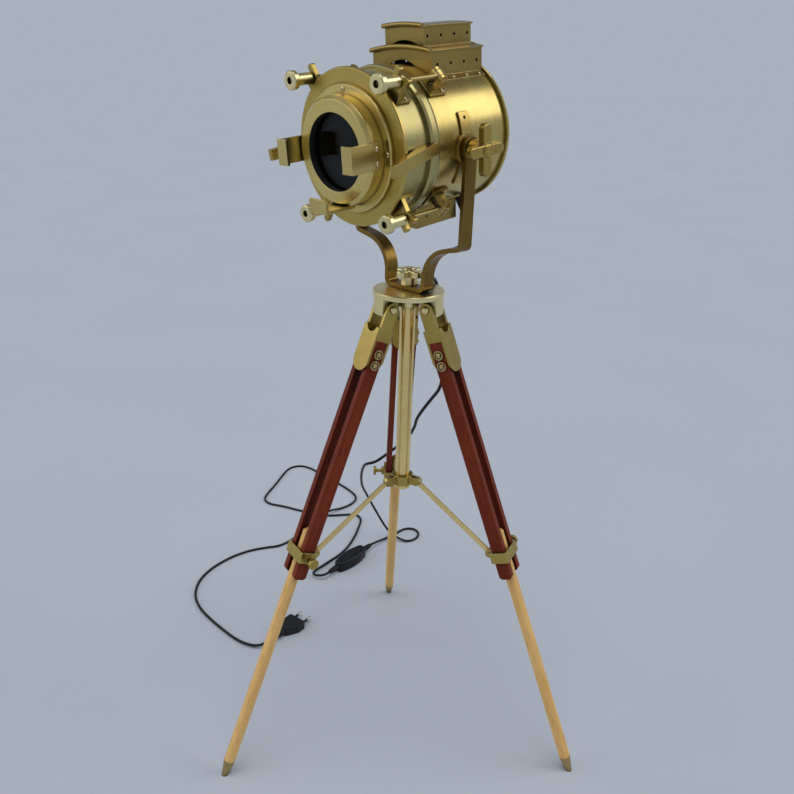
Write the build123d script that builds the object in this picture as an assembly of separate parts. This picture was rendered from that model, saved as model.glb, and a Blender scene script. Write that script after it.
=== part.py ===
"""Tripod spotlight: a brass lamp head in a tilting yoke on a folding wooden tripod, with its cord.

Frame: origin on the floor under the centre column, +Z up, the lamp faces -Y, +X to its left hand.
All lengths are in millimetres.
"""
import os
from math import atan2, cos, degrees, radians, sin, sqrt, tan

from build123d import *

# Fits
RUN = 0.06            # radial play of a pin or bolt that turns in its hole
AIR = 0.35            # room between pieces that slide or swing past each other
CUT = 5.0             # overrun of every cutting tool

# Rounding, as shares of the thickness it is cut in
DOME_SHARE = 0.8
RIM_ROUND_SHARE = 0.45
BEAD_FALL_SHARE = 0.33

# Stance
FOOT_CIRCLE_R = 240.0
LEG_COUNT = 3
LEG_TURN = 16.94      # degrees from +X to the first leg
HINGE_R = 27.5
HINGE_DROP = 17.0     # hinge axis below the top of the disc
DISC_TOP_Z = 566.0
HEAD_ROOM = 81.5      # from the disc's top to the drum's lowest line, lamp axis at the tilt axis
HEAD_TILT = 6.0       # degrees that the lamp looks down
AXIS_RISE = 6.0       # lamp axis above the tilt axis

# Lamp drum, along the lamp's own Y axis
SHEET = 1.5
DRUM_R = 68.5
DRUM_FRONT = -38.0
DRUM_BACK = 60.5
DRUM_HOLE_ANGLE = -38.0   # degrees round the drum from +X
DRUM_HOLE_Y = 49.0
COVER_RIM_LIP = 3.5
COVER_RIM_T = 3.0
COVER_DISH = 2.0
BARREL_STEP = 2.0     # barrel smaller than the drum
BEAD_LIP = 4.5
BEAD_LENGTH = 12.0
BEAD_EDGE = 3.0
FLANGE_LIP = 5.5
FLANGE_T = 3.0
FLANGE_FRONT = -86.0

# Lens and its rings
FLANGE_FACE_W = 14.0  # flange round the lens ring
LENS_RING_T = 4.0
LENS_RING_W = 13.0
RING_LAP = 4.0        # lens ring over the flange's hole
RING_CHAMFER = 1.0
BEZEL_STEP = 8.5      # bezel inside the lens ring's edge
BEZEL_LENGTH = 16.0
BEZEL_WALL = 3.0
BEZEL_CHAMFER = 3.2
BEZEL_FACE_W = 14.1
BORE_WALL = 2.5
GLASS_LAP = 7.6       # glass behind the bezel's face
GLASS_T = 4.0
GLASS_SETBACK = 6.5
RETAINER_LIP = 4.0
RETAINER_T = 1.6

# Bulb and its holder
GLOBE_R = 26.0
GLOBE_Y = -18.0
BULB_NECK_R = 14.0
CAP_R = 13.0
CAP_LENGTH = 24.0
HOLDER_R = 17.0
HOLDER_FRONT = 16.0

# Chimney tiers and the vent box below
LOW_TIER_SHARE = 0.566    # of the drum's diameter
LOW_TIER_FRONT = -12.6
LOW_TIER_H = 10.0     # edge of the roof above the drum
LOW_TIER_RISE = 3.8
TOP_TIER_SHARE = 0.645    # of the lower tier's width
TOP_TIER_FRONT = -8.1
TOP_TIER_H = 21.0     # edge of the roof above the lower one
TOP_TIER_RISE = 1.6
TIER_INSET = 0.5
ROOF_OVERHANG = 2.2
ROOF_SIDE = 0.8
ROOF_LIP = 4.2
CRESCENT_R = 30.0
CRESCENT_RISE = 3.6
TOP_CRESCENT_R = 38.0
TOP_CRESCENT_RISE = 4.9
FLUE_W = 34.0
FLUE_MARGIN = 8.0
VENT_HOLE_R = 1.6
VENT_HOLES = 4
VENT_PITCH = 19.0
FOOT_STRIP = 5.5
FOOT_STRIP_T = 1.2
BOX_SHARE = 0.423     # of the drum's diameter
BOX_FRONT = -30.0
BOX_BACK = 30.0
BOX_H = 14.5

# Filter clips round the bezel
CLIP_W = 23.5
CLIP_T = 3.0
CLIP_SEAT = 11.0
CLIP_REACH = 25.0
CLIP_LIP = 10.0
CLIP_SADDLE = 1.2
CLIP_ANGLES = (0, 180, 270)
CLIP_SCREW_SPACING = 13.0

# Side handles
HANDLE_GAP = 2.0      # foot in front of the bead
HANDLE_LAP = 8.0      # tail back over the bead
HANDLE_ROOT_T = 7.0
HANDLE_FOOT_LENGTH = 13.0
HANDLE_REACH = 31.0   # tip in front of the flange
HANDLE_SPLAY = 21.0
HANDLE_TIP_T = 5.0
HANDLE_H = 10.5
HANDLE_DROOP = 7.0    # degrees
HANDLE_FILLET = 2.2

# Swing bolts that hold the front section, one at each diagonal
SWING_ANGLES = (46, 134, 230, 315)
SWING_STANDOFF = 15.0
SWING_SET_BACK = 14.0     # hinge pin behind the drum's front
ROD_R = 2.2
EYE_R = 5.4
EAR_T = 3.0
EAR_GAP = 6.4
PIN_R = 2.0
LUG_FOOT_LENGTH = 22.0
LUG_FOOT_W = 20.0
LUG_FOOT_T = 2.4
FORK_SET_BACK = 8.0       # fork behind the flange's face
FORK_T = 5.0
FORK_REACH = 9.5
FORK_FOOT_LENGTH = 18.0
FORK_FOOT_W = 22.0
FORK_WAIST_SHARE = 0.7
FORK_HORN_SHARE = 0.94
FORK_LEAD_SHARE = 0.2
FORK_ROUND_SHARE = 0.32
FORK_SLOT_AIR = 0.7
NUT_GAP = 1.0
NUT_NECK_R = 5.6
NUT_NECK_LENGTH = 18.0
NUT_HEAD_R = 8.8
NUT_HEAD_T = 7.0
NUT_MOUTH_R = 3.4
NUT_MOUTH_DEPTH = 4.5
NUT_EDGE = 1.2

# Pivots, yoke and hand knobs
STRAP_W = 14.0
STRAP_TOP = 27.0
STRAP_BOTTOM = -39.0
STRAP_T = 2.0
STRAP_HOLE_INSET = 5.0
BOSS_R = 15.0
ARM_STANDOFF = 3.5    # yoke arm from the drum
ARM_T = 4.4
ARM_W = 15.7
ARM_EYE_R = 11.0
SHOULDER_RISE = 54.5  # above the top of the disc
SHOULDER_DIP = 10.4
SHOULDER_R = 5.0
YOKE_FOOT_X = 26.6
YOKE_SWEEP_R = 35.0
YOKE_FOOT_BEND_R = 6.0
TILT_BOLT_R = 4.0
TILT_BOLT_GRIP = 11.0
KNOB_SPAN = 48.5
KNOB_WING_W = 11.0
KNOB_T = 7.0
KNOB_COLLAR_R = 9.0
KNOB_COLLAR_T = 12.0
KNOB_EDGE = 1.5
KNOB_DOME_R = 6.5
KNOB_DOME_T = 2.5
PAN_KNOB_SPAN = 33.0
PAN_KNOB_COLLAR_T = 9.0
PAN_BOLT_R = 4.0
PAN_BOLT_GRIP = 9.0

# Tripod head and column
DISC_R = 39.0
DISC_T = 5.7
DISC_EDGE = 1.0
LUG_W = 19.0
LUG_EYE_R = 9.0
LUG_DEPTH = 17.0
LUG_APRON = 7.0       # lug below the hinge axis
HINGE_BOLT_R = 3.0
BOLT_HEAD_R = 4.0
BOLT_HEAD_T = 3.0
COLUMN_R = 8.5
COLUMN_WALL = 1.6
COLUMN_END_Z = 330.0
SOCKET_R = 13.0
SOCKET_T = 12.0
END_NUT_R = 9.6
END_NUT_T = 5.0

# Legs, measured from the hinge down the leg
RAIL_W = 7.0
RAIL_DEPTH = 15.0
RAIL_GAP = 13.9
RAIL_TOP = 36.0
RAIL_BELOW_CLAMP = 28.0
RAIL_CHAMFER = 2.5
NOTCH_END = 29.0
TONGUE_END = 70.0
PLATE_TOP = 22.0
PLATE_END = 73.0
INNER_PLATE_END = 68.0
PLATE_T = 2.6
PLATE_CORNER_R = 13.0
RAIL_BOLT_DROPS = (50.0, 62.5)
RAIL_BOLT_R = 2.5
RAIL_BOLT_HEAD_R = 2.9
WASHER_R = 5.3
WASHER_T = 1.8
WASHER_FLOOR = 0.6
WASHER_CUP_R = 4.2
CLAMP_DROP = 291.9
CLAMP_H = 12.5
CLAMP_T = 2.6
CLAMP_BOSS_R = 5.5
CLAMP_BOSS_T = 3.5
CLAMP_SCREW_R = 2.5
CLAMP_SCREW_HEAD_R = 6.0
CLAMP_SCREW_HEAD_T = 3.5
CLAMP_SCREW_NECK = 7.5
CLAMP_SCREW_EDGE = 0.8
LUG_PLATE_T = 2.4
LUG_PIVOT = 10.0      # strut pivot inside the rails' inner face
LUG_PLATE_R = 4.6
LEG_ROD_R = 6.6
LEG_ROD_ABOVE_CLAMP = 30.0
LEG_ROD_CHAMFER = 4.0
FERRULE_LENGTH = 21.0
FERRULE_R = 6.9
FERRULE_TIP_R = 3.4
FERRULE_SINK = 1.6    # length of the cone that the level sole cuts away

# Spider hub and struts
HUB_Z = 337.0
HUB_R = 12.5
HUB_H = 11.0
HUB_PIVOT_R = 19.5
HUB_EAR_T = 2.4
HUB_EAR_R = 4.6
STRUT_T = 2.6
STRUT_W = 5.6
STRUT_EYE_R = 4.4
STRUT_PIN_R = 2.0

# Round-head screws
SCREW_R = 2.3
SCREW_HEAD_T = 1.5
SLOT_SHARE = 0.17
SLOT_FLOOR_SHARE = 0.5
RING_SCREW_INSET = 4.5
RING_SCREW_ANGLES = (0, 90, 180, 270)
STRIP_RIVET_R = 1.5
STRIP_RIVET_T = 1.0

# Cord, its gland, switch and plug
CORD_D = 4.0
ARC_SHARE = 0.45      # part of a run that each of its arcs may take
GLAND_STRAIGHT = 6.5
SWITCH_STRAIGHT = 7.5
PLUG_STRAIGHT = 14.0
GLAND_ANGLE = -66.0   # degrees round the drum from +X
GLAND_Y = 37.0
GLAND_FLANGE_R = 6.4
GLAND_FLANGE_T = 3.0
GLAND_NOSE_R = 5.0
GLAND_TIP_R = 3.2
GLAND_LENGTH = 24.0
SWITCH_X = -278.0
SWITCH_Y = 173.3
SWITCH_TURN = -83.2   # degrees from +X to the switch's plug-side end
SWITCH_LENGTH = 68.0
SWITCH_W = 26.0
SWITCH_END_W = 13.0
SWITCH_CORNER = 5.0
SWITCH_H = 19.0
SWITCH_EDGE = 4.5
RELIEF_LENGTH = 20.0
RELIEF_ROOT_R = 5.0
RELIEF_TIP_R = 3.0
ROCKER_LENGTH = 17.0
ROCKER_W = 10.0
ROCKER_PROUD = 1.5
ROCKER_DEPTH = 6.0
ROCKER_PIN_R = 1.5
ROCKER_AIR = 1.0
ROCKER_PIN_SHARE = 0.33
PLUG_X = -204.2
PLUG_Y = -46.9
PLUG_TURN = 98.0      # degrees from +X to the pins
PLUG_RELIEF = 20.0
PLUG_BODY_LENGTH = 32.0
PLUG_BODY_W = 30.0
PLUG_TAIL_W = 11.0
PLUG_H = 13.6
PLUG_EDGE = 3.0
PLUG_PIN_R = 2.0
PLUG_PIN_LENGTH = 19.0
PLUG_PIN_PITCH = 18.6
PLUG_SHOULDER_SHARE = 0.55

# Sizes and places that follow from the sizes above
HINGE_Z = DISC_TOP_Z - HINGE_DROP
PIVOT_Z = DISC_TOP_Z + HEAD_ROOM + DRUM_R
SHOULDER_Z = DISC_TOP_Z + SHOULDER_RISE
COVER_RIM_R = DRUM_R + COVER_RIM_LIP
BARREL_R = DRUM_R - BARREL_STEP
BEAD_R = BARREL_R + BEAD_LIP
FLANGE_R = BARREL_R + FLANGE_LIP
LENS_RING_R = FLANGE_R - FLANGE_FACE_W
FLANGE_HOLE_R = LENS_RING_R - RING_LAP
LENS_RING_HOLE_R = LENS_RING_R - LENS_RING_W
RING_SCREW_R = LENS_RING_R - RING_SCREW_INSET
BEZEL_R = LENS_RING_R - BEZEL_STEP
OPENING_R = BEZEL_R - BEZEL_FACE_W
GLASS_R = OPENING_R + GLASS_LAP
LOW_TIER_W = 2 * DRUM_R * LOW_TIER_SHARE
LOW_TIER_EDGE = DRUM_R + LOW_TIER_H
TOP_TIER_W = LOW_TIER_W * TOP_TIER_SHARE
TOP_TIER_EDGE = LOW_TIER_EDGE + TOP_TIER_H
TIER_BACK = DRUM_BACK - TIER_INSET
BOX_W = 2 * DRUM_R * BOX_SHARE
BOX_DROP = DRUM_R + BOX_H
HANDLE_ROOT_Y = DRUM_FRONT - BEAD_LENGTH - HANDLE_GAP
HANDLE_TIP_Y = FLANGE_FRONT - HANDLE_REACH
HANDLE_TIP_X = BARREL_R + HANDLE_SPLAY
SWING_R = DRUM_R + SWING_STANDOFF
SWING_PIVOT_Y = DRUM_FRONT + SWING_SET_BACK
FORK_FRONT = FLANGE_FRONT + FORK_SET_BACK
FORK_FOOT_BACK = FORK_FRONT + FORK_FOOT_LENGTH
ARM_IN_X = DRUM_R + ARM_STANDOFF
SPREAD = degrees(atan2(FOOT_CIRCLE_R - HINGE_R, HINGE_Z))
LEG_LENGTH = HINGE_Z / cos(radians(SPREAD))
LEG_HALF_W = RAIL_GAP / 2 + RAIL_W
LEG_HALF_DEPTH = RAIL_DEPTH / 2
RAIL_END = CLAMP_DROP + RAIL_BELOW_CLAMP
LENS_RING_FRONT = FLANGE_FRONT - LENS_RING_T
BEZEL_FRONT = LENS_RING_FRONT - BEZEL_LENGTH
GLASS_FRONT = BEZEL_FRONT + GLASS_SETBACK
ARM_X = ARM_IN_X + ARM_T / 2
ARM_OUT_X = ARM_IN_X + ARM_T
PIVOT_DROP = -AXIS_RISE
CORD_R = CORD_D / 2
STRUT_PIVOT_X = -(LEG_HALF_DEPTH + LUG_PIVOT)
HEAD = Pos(0, 0, PIVOT_Z) * Rot(HEAD_TILT, 0, 0) * Pos(0, 0, AXIS_RISE)

# Routes of the three cord stretches, lamp to plug; the gland, switch and plug ends are worked out
HEAD_ROUTE = [
    (42.5, 43, 621), (40, 36, 613), (33, 26.5, 609.5), (25.5, 18.5, 603), (19.8, 13.6, 592.8),
    (17.6, 14, 584.3), (13.2, 19, 577.8), (8, 27, 575),
]
DROP_ROUTE = [
    (2.8, 35, 572.2), (-2.5, 45, 569), (-4.3, 53.5, 556), (-2.5, 56, 531), (3, 54, 499), (9, 53, 468),
    (7, 55, 440), (-12, 59, 417), (-32, 66, 394), (-52, 78, 372), (-70, 96, 351), (-88, 106, 329),
    (-104, 102, 309), (-115, 88, 295), (-119, 72, 287.5), (-132, 67, 282), (-153, 84, 266),
    (-183, 109, 241), (-221, 142, 203), (-256, 176, 164), (-284, 205, 134), (-301, 230, 105),
    (-309, 250, 76), (-309, 264, 51), (-302, 273, 29), (-292, 278, 14), (-280, 280, 9.5), (-267, 283, 5),
    (-254, 292, 2.2), (-251, 311, 2), (-261, 328, 2), (-279, 331, 2), (-289.5, 318, 2), (-289, 300, 2),
    (-287.5, 272, 3),
]
TAIL_ROUTE = [
    (-273.5, 105.5, 9), (-279.4, 101, 7.7), (-286.8, 100.1, 6.2), (-293.6, 103.1, 4.7), (-298, 109, 3.3),
    (-304, 150, 2), (-307, 176, 2), (-316, 204, 2), (-335, 238, 2), (-354, 265, 2), (-369, 284, 2),
    (-387, 288, 2), (-401, 272, 2), (-418, 247, 2), (-443, 230, 2), (-475, 217, 2), (-506, 205, 2),
    (-531, 191, 2), (-552, 194, 2), (-566, 213, 2), (-583, 244, 2), (-606, 281, 2), (-624, 312, 2),
    (-618, 337, 2), (-592, 347, 2), (-551, 344, 2), (-507, 345, 2), (-463, 342, 2), (-433, 333, 2),
    (-421, 307, 2), (-423, 276, 3), (-424, 256, 8.5), (-421, 236, 8.5), (-416, 214, 3), (-408, 179, 2),
    (-401, 145, 2), (-399, 116, 2), (-413, 93, 2), (-425, 65, 2), (-429, 30, 2), (-424, -8, 2),
    (-409, -43, 2), (-381, -70, 2), (-346, -83, 2), (-310, -86, 2), (-277, -86, 2), (-246, -85, 2),
    (-222, -80, 3.5), (-207, -72, 5.5),
]


def turned(points):
    """Solid of revolution about Y, from (radius, y) points."""
    return revolve(make_face(Polyline(*points, close=True)), Axis.Y)


def rod_x(radius, x0, x1, y=0, z=0):
    """Round bar along X."""
    return Pos((x0 + x1) / 2, y, z) * Rot(0, 90, 0) * Cylinder(radius, abs(x1 - x0))


def rod_y(radius, y0, y1, x=0, z=0):
    """Round bar along Y."""
    return Pos(x, (y0 + y1) / 2, z) * Rot(90, 0, 0) * Cylinder(radius, abs(y1 - y0))


def rod_z(radius, z0, z1, x=0, y=0):
    """Round bar along Z."""
    return Pos(x, y, (z0 + z1) / 2) * Cylinder(radius, abs(z1 - z0))


def block(x0, x1, y0, y1, z0, z1):
    """Box between two corners."""
    return Pos((x0 + x1) / 2, (y0 + y1) / 2, (z0 + z1) / 2) * Box(abs(x1 - x0), abs(y1 - y0), abs(z1 - z0))


def prism_y(face, y0, y1):
    """Outline drawn in X and Z, drawn out from y0 to y1."""
    plane = Plane((0, y1, 0), x_dir=(1, 0, 0), z_dir=(0, -1, 0))
    return extrude(plane * face, amount=y1 - y0)


def prism_z(face, z0, z1):
    """Outline drawn in X and Y, drawn out from z0 to z1."""
    return extrude(Pos(0, 0, z0) * face, amount=z1 - z0)


def round_the_drum(angle):
    """Placement that carries a piece from the +X side of the drum round its axis."""
    return Rot(0, -angle, 0)


def drum_core(radius):
    """Cutting tool the size of a drum section."""
    return rod_y(radius, BEZEL_FRONT - CUT, DRUM_BACK + CUT)


def screw_head(radius, thickness):
    """Domed screw head on Z = 0."""
    head = Cylinder(radius, thickness, align=(Align.CENTER, Align.CENTER, Align.MIN))
    return fillet(head.edges().sort_by(Axis.Z)[-1], thickness * DOME_SHARE)


def slotted_head(radius, thickness):
    """Domed screw head with a driver slot."""
    half = radius * SLOT_SHARE
    slot = block(-radius, radius, -half, half, thickness * SLOT_FLOOR_SHARE, thickness + CUT)
    return screw_head(radius, thickness) - slot


def rear_drum():
    """Rear drum tube with its pivot, vent and gland openings."""
    tube = turned([(DRUM_R - SHEET, DRUM_FRONT), (DRUM_R, DRUM_FRONT), (DRUM_R, DRUM_BACK),
                   (DRUM_R - SHEET, DRUM_BACK)])
    flue = block(-FLUE_W / 2, FLUE_W / 2, LOW_TIER_FRONT + FLUE_MARGIN, TIER_BACK - FLUE_MARGIN, 0, BOX_DROP)
    inlet = block(-FLUE_W / 2, FLUE_W / 2, BOX_FRONT + FLUE_MARGIN, BOX_BACK - FLUE_MARGIN, -BOX_DROP, 0)
    pivots = rod_x(TILT_BOLT_R + AIR, -ARM_IN_X, ARM_IN_X, 0, PIVOT_DROP)
    lead = round_the_drum(GLAND_ANGLE) * rod_x(CORD_R, 0, ARM_IN_X, GLAND_Y)
    spare = round_the_drum(DRUM_HOLE_ANGLE) * rod_x(VENT_HOLE_R, 0, ARM_IN_X, DRUM_HOLE_Y)
    return tube - flue - inlet - pivots - lead - spare


def rear_cover():
    """Dished back plate with a rounded rim."""
    back = DRUM_BACK + COVER_RIM_T
    cover = turned([(0, DRUM_BACK + COVER_DISH / 2), (DRUM_R - SHEET - COVER_RIM_T, DRUM_BACK),
                    (COVER_RIM_R, DRUM_BACK), (COVER_RIM_R, back), (DRUM_R - COVER_RIM_T, back),
                    (0, back + COVER_DISH)])
    rim = [e for e in cover.edges().filter_by(GeomType.CIRCLE) if abs(e.radius - COVER_RIM_R) < AIR]
    return fillet(rim, COVER_RIM_T * RIM_ROUND_SHARE)


def front_barrel():
    """Front barrel with the rounded bead that meets the rear drum."""
    front = FLANGE_FRONT + FLANGE_T
    bead_front = DRUM_FRONT - BEAD_LENGTH
    wall = BARREL_R - SHEET
    edge = BEAD_R - BEAD_EDGE * BEAD_FALL_SHARE
    return turned([(wall, front), (BARREL_R, front), (BARREL_R, bead_front), (edge, bead_front),
                   (BEAD_R, bead_front + BEAD_EDGE), (BEAD_R, DRUM_FRONT - BEAD_EDGE), (edge, DRUM_FRONT),
                   (wall, DRUM_FRONT)])


def front_flange():
    """Flat front flange."""
    back = FLANGE_FRONT + FLANGE_T
    return turned([(FLANGE_HOLE_R, FLANGE_FRONT), (FLANGE_R - RING_CHAMFER, FLANGE_FRONT),
                   (FLANGE_R, FLANGE_FRONT + RING_CHAMFER), (FLANGE_R, back), (FLANGE_HOLE_R, back)])


def lens_ring():
    """Raised ring screwed to the flange."""
    return turned([(LENS_RING_HOLE_R, LENS_RING_FRONT), (LENS_RING_R - RING_CHAMFER, LENS_RING_FRONT),
                   (LENS_RING_R, LENS_RING_FRONT + RING_CHAMFER), (LENS_RING_R, FLANGE_FRONT),
                   (LENS_RING_HOLE_R, FLANGE_FRONT)])


def bezel_ring():
    """Bezel cup with its chamfered front and the bore that leads to the glass."""
    inner = OPENING_R + BORE_WALL
    face_back = BEZEL_FRONT + BEZEL_WALL
    return turned([(OPENING_R, GLASS_FRONT), (OPENING_R, BEZEL_FRONT),
                   (BEZEL_R - BEZEL_CHAMFER, BEZEL_FRONT), (BEZEL_R, BEZEL_FRONT + BEZEL_CHAMFER),
                   (BEZEL_R, LENS_RING_FRONT), (BEZEL_R - BEZEL_WALL, LENS_RING_FRONT),
                   (BEZEL_R - BEZEL_WALL, face_back), (inner, face_back), (inner, GLASS_FRONT)])


def lens_glass():
    """Round glass behind the bezel's bore."""
    return rod_y(GLASS_R, GLASS_FRONT, GLASS_FRONT + GLASS_T)


def lens_retainer():
    """Ring in the bezel's cup that holds the glass."""
    inner = GLASS_R + AIR
    outer = BEZEL_R - BEZEL_WALL
    front = BEZEL_FRONT + BEZEL_WALL
    lip = GLASS_FRONT + GLASS_T
    return turned([(inner, front), (outer, front), (outer, lip + RETAINER_T),
                   (GLASS_R - RETAINER_LIP, lip + RETAINER_T), (GLASS_R - RETAINER_LIP, lip), (inner, lip)])


def bulb():
    """Globe bulb, cap in the holder."""
    cap_end = HOLDER_FRONT + CAP_LENGTH
    neck_y = GLOBE_Y + sqrt(GLOBE_R ** 2 - BULB_NECK_R ** 2)
    globe = Pos(0, GLOBE_Y, 0) * Sphere(GLOBE_R)
    neck = turned([(0, GLOBE_Y), (BULB_NECK_R, neck_y), (CAP_R, HOLDER_FRONT), (CAP_R, cap_end),
                   (0, cap_end)])
    return globe + neck


def lamp_holder():
    """Bulb holder on the rear cover."""
    cap_end = HOLDER_FRONT + CAP_LENGTH
    return rod_y(HOLDER_R, HOLDER_FRONT, DRUM_BACK) - rod_y(CAP_R + AIR, HOLDER_FRONT - CUT, cap_end)


def arch(half_width, base, edge, rise):
    """Outline with upright sides and an arched top."""
    sides = Polyline((half_width, edge), (half_width, base), (-half_width, base), (-half_width, edge))
    return make_face([sides, ThreePointArc((-half_width, edge), (0, edge + rise), (half_width, edge))])


def roof(half_width, edge, rise, front):
    """Arched roof sheet with the rolled lip along its front edge."""
    reach = half_width + ROOF_SIDE
    top = edge + SHEET
    y = front - ROOF_OVERHANG
    under = arch(reach, 0, edge, rise)
    sheet = prism_y(arch(reach, 0, top, rise) - under, y, TIER_BACK + ROOF_OVERHANG)
    crown = ThreePointArc((-reach, y, top), (0, y, top + rise), (reach, y, top))
    lip = sweep(Plane(origin=crown @ 0, z_dir=crown % 0) * Circle(ROOF_LIP / 2), path=crown)
    return sheet + lip


def vent_row(front):
    """Places of a tier's side holes along Y."""
    start = (front + TIER_BACK) / 2 - VENT_PITCH * (VENT_HOLES - 1) / 2
    return [start + i * VENT_PITCH for i in range(VENT_HOLES)]


def vent_holes(width, front, height):
    """Row of holes through both side walls of a tier."""
    return [rod_x(VENT_HOLE_R, -width, width, y, height) for y in vent_row(front)]


def tier_walls(half_width, edge, rise, front):
    """Four sheet walls under an arched roof."""
    outer = prism_y(arch(half_width, 0, edge, rise), front, TIER_BACK)
    inner = prism_y(arch(half_width - SHEET, -CUT, edge + CUT, rise), front + SHEET, TIER_BACK - SHEET)
    return outer - inner


def foot_strips(half_width, front, back, sign):
    """Strips that fasten a box to the drum, one each side."""
    skin = rod_y(DRUM_R + FOOT_STRIP_T, front, back) - drum_core(DRUM_R)
    side = half_width + FOOT_STRIP
    right = skin & block(half_width - SHEET, side, front, back, 0, sign * DRUM_R)
    left = skin & block(-side, SHEET - half_width, front, back, 0, sign * DRUM_R)
    return right + left


def low_tier():
    """Lower chimney tier: walls with a crescent vent, arched roof and foot strips."""
    half = LOW_TIER_W / 2
    walls = tier_walls(half, LOW_TIER_EDGE, LOW_TIER_RISE, LOW_TIER_FRONT) - drum_core(DRUM_R)
    crescent = rod_y(CRESCENT_R, LOW_TIER_FRONT - CUT, LOW_TIER_FRONT + CUT, 0,
                     DRUM_R + CRESCENT_RISE - CRESCENT_R)
    flue = block(-FLUE_W / 2, FLUE_W / 2, TOP_TIER_FRONT + FLUE_MARGIN, TIER_BACK - FLUE_MARGIN,
                 DRUM_R, TOP_TIER_EDGE)
    height = (LOW_TIER_EDGE + sqrt(DRUM_R ** 2 - half ** 2)) / 2
    tier = walls - crescent + roof(half, LOW_TIER_EDGE, LOW_TIER_RISE, LOW_TIER_FRONT)
    tier = tier + foot_strips(half, LOW_TIER_FRONT, TIER_BACK, 1) - flue
    return tier - vent_holes(LOW_TIER_W, LOW_TIER_FRONT, height)


def top_tier():
    """Upper chimney tier, standing on the lower roof."""
    half = TOP_TIER_W / 2
    walls = tier_walls(half, TOP_TIER_EDGE, TOP_TIER_RISE, TOP_TIER_FRONT)
    reach = LOW_TIER_W / 2 + ROOF_SIDE
    seat = LOW_TIER_EDGE + SHEET
    below = prism_y(arch(reach, -CUT, seat, LOW_TIER_RISE), LOW_TIER_FRONT - CUT, TIER_BACK + CUT)
    skin = prism_y(arch(reach, 0, seat + FOOT_STRIP_T, LOW_TIER_RISE), TOP_TIER_FRONT, TIER_BACK) - below
    for sign in (1, -1):
        walls += skin & block(sign * (half - SHEET), sign * (half + FOOT_STRIP), TOP_TIER_FRONT, TIER_BACK,
                              0, TOP_TIER_EDGE)
    crown = seat + LOW_TIER_RISE
    crescent = rod_y(TOP_CRESCENT_R, TOP_TIER_FRONT - CUT, TOP_TIER_FRONT + CUT, 0,
                     crown + TOP_CRESCENT_RISE - TOP_CRESCENT_R)
    height = (TOP_TIER_EDGE + crown) / 2
    tier = walls - below - crescent + roof(half, TOP_TIER_EDGE, TOP_TIER_RISE, TOP_TIER_FRONT)
    return tier - vent_holes(TOP_TIER_W, TOP_TIER_FRONT, height)


def vent_box():
    """Air inlet box under the drum."""
    half = BOX_W / 2
    shell = block(-half, half, BOX_FRONT, BOX_BACK, -BOX_DROP, 0)
    hollow = block(SHEET - half, half - SHEET, BOX_FRONT + SHEET, BOX_BACK - SHEET, SHEET - BOX_DROP, CUT)
    height = -(BOX_DROP + sqrt(DRUM_R ** 2 - half ** 2)) / 2
    holes = [rod_x(VENT_HOLE_R, -BOX_W, BOX_W, y, height)
             for y in (BOX_FRONT / 2, (BOX_FRONT + BOX_BACK) / 2, BOX_BACK / 2)]
    return shell - hollow - drum_core(DRUM_R) - holes + foot_strips(half, BOX_FRONT, BOX_BACK, -1)


def filter_clip(angle):
    """L-shaped clip on the bezel's side, its lip turned in over the filter slot."""
    inner = BEZEL_R - CLIP_SADDLE
    outer = inner + CLIP_T
    front = BEZEL_FRONT - CLIP_REACH
    plate = block(inner, outer, front, BEZEL_FRONT + CLIP_SEAT, -CLIP_W / 2, CLIP_W / 2)
    lip = block(inner - CLIP_LIP, inner, front, front + CLIP_T, -CLIP_W / 2, CLIP_W / 2)
    return round_the_drum(angle) * (plate + lip - rod_y(BEZEL_R, BEZEL_FRONT, FLANGE_FRONT))


def side_handle(sign):
    """Drooping flat handle on the side of the front barrel."""
    root_in = sqrt(BARREL_R ** 2 - HANDLE_H ** 2)
    root_out = BARREL_R + HANDLE_ROOT_T
    foot_end = HANDLE_ROOT_Y - HANDLE_FOOT_LENGTH
    flange_clear = FLANGE_R + HANDLE_GAP
    tail_in = BEAD_R + AIR
    tail = HANDLE_ROOT_Y + HANDLE_LAP
    outline = Polyline((root_in, HANDLE_ROOT_Y), (tail_in, HANDLE_ROOT_Y), (tail_in, tail), (root_out, tail),
                       (HANDLE_TIP_X, HANDLE_TIP_Y), (HANDLE_TIP_X - HANDLE_TIP_T, HANDLE_TIP_Y),
                       (flange_clear, FLANGE_FRONT + FLANGE_T), (root_in, foot_end), close=True)
    bar = prism_z(make_face(outline), -HANDLE_H / 2, HANDLE_H / 2)
    tip = bar.edges().filter_by(Axis.Z).sort_by(Axis.Y)[:2]
    bar = fillet(tip, HANDLE_FILLET)
    bar = Pos(0, HANDLE_ROOT_Y, 0) * Rot(HANDLE_DROOP, 0, 0) * Pos(0, -HANDLE_ROOT_Y, 0) * bar
    bar = bar - drum_core(BARREL_R)
    return bar if sign > 0 else mirror(bar, Plane.YZ)


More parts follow.
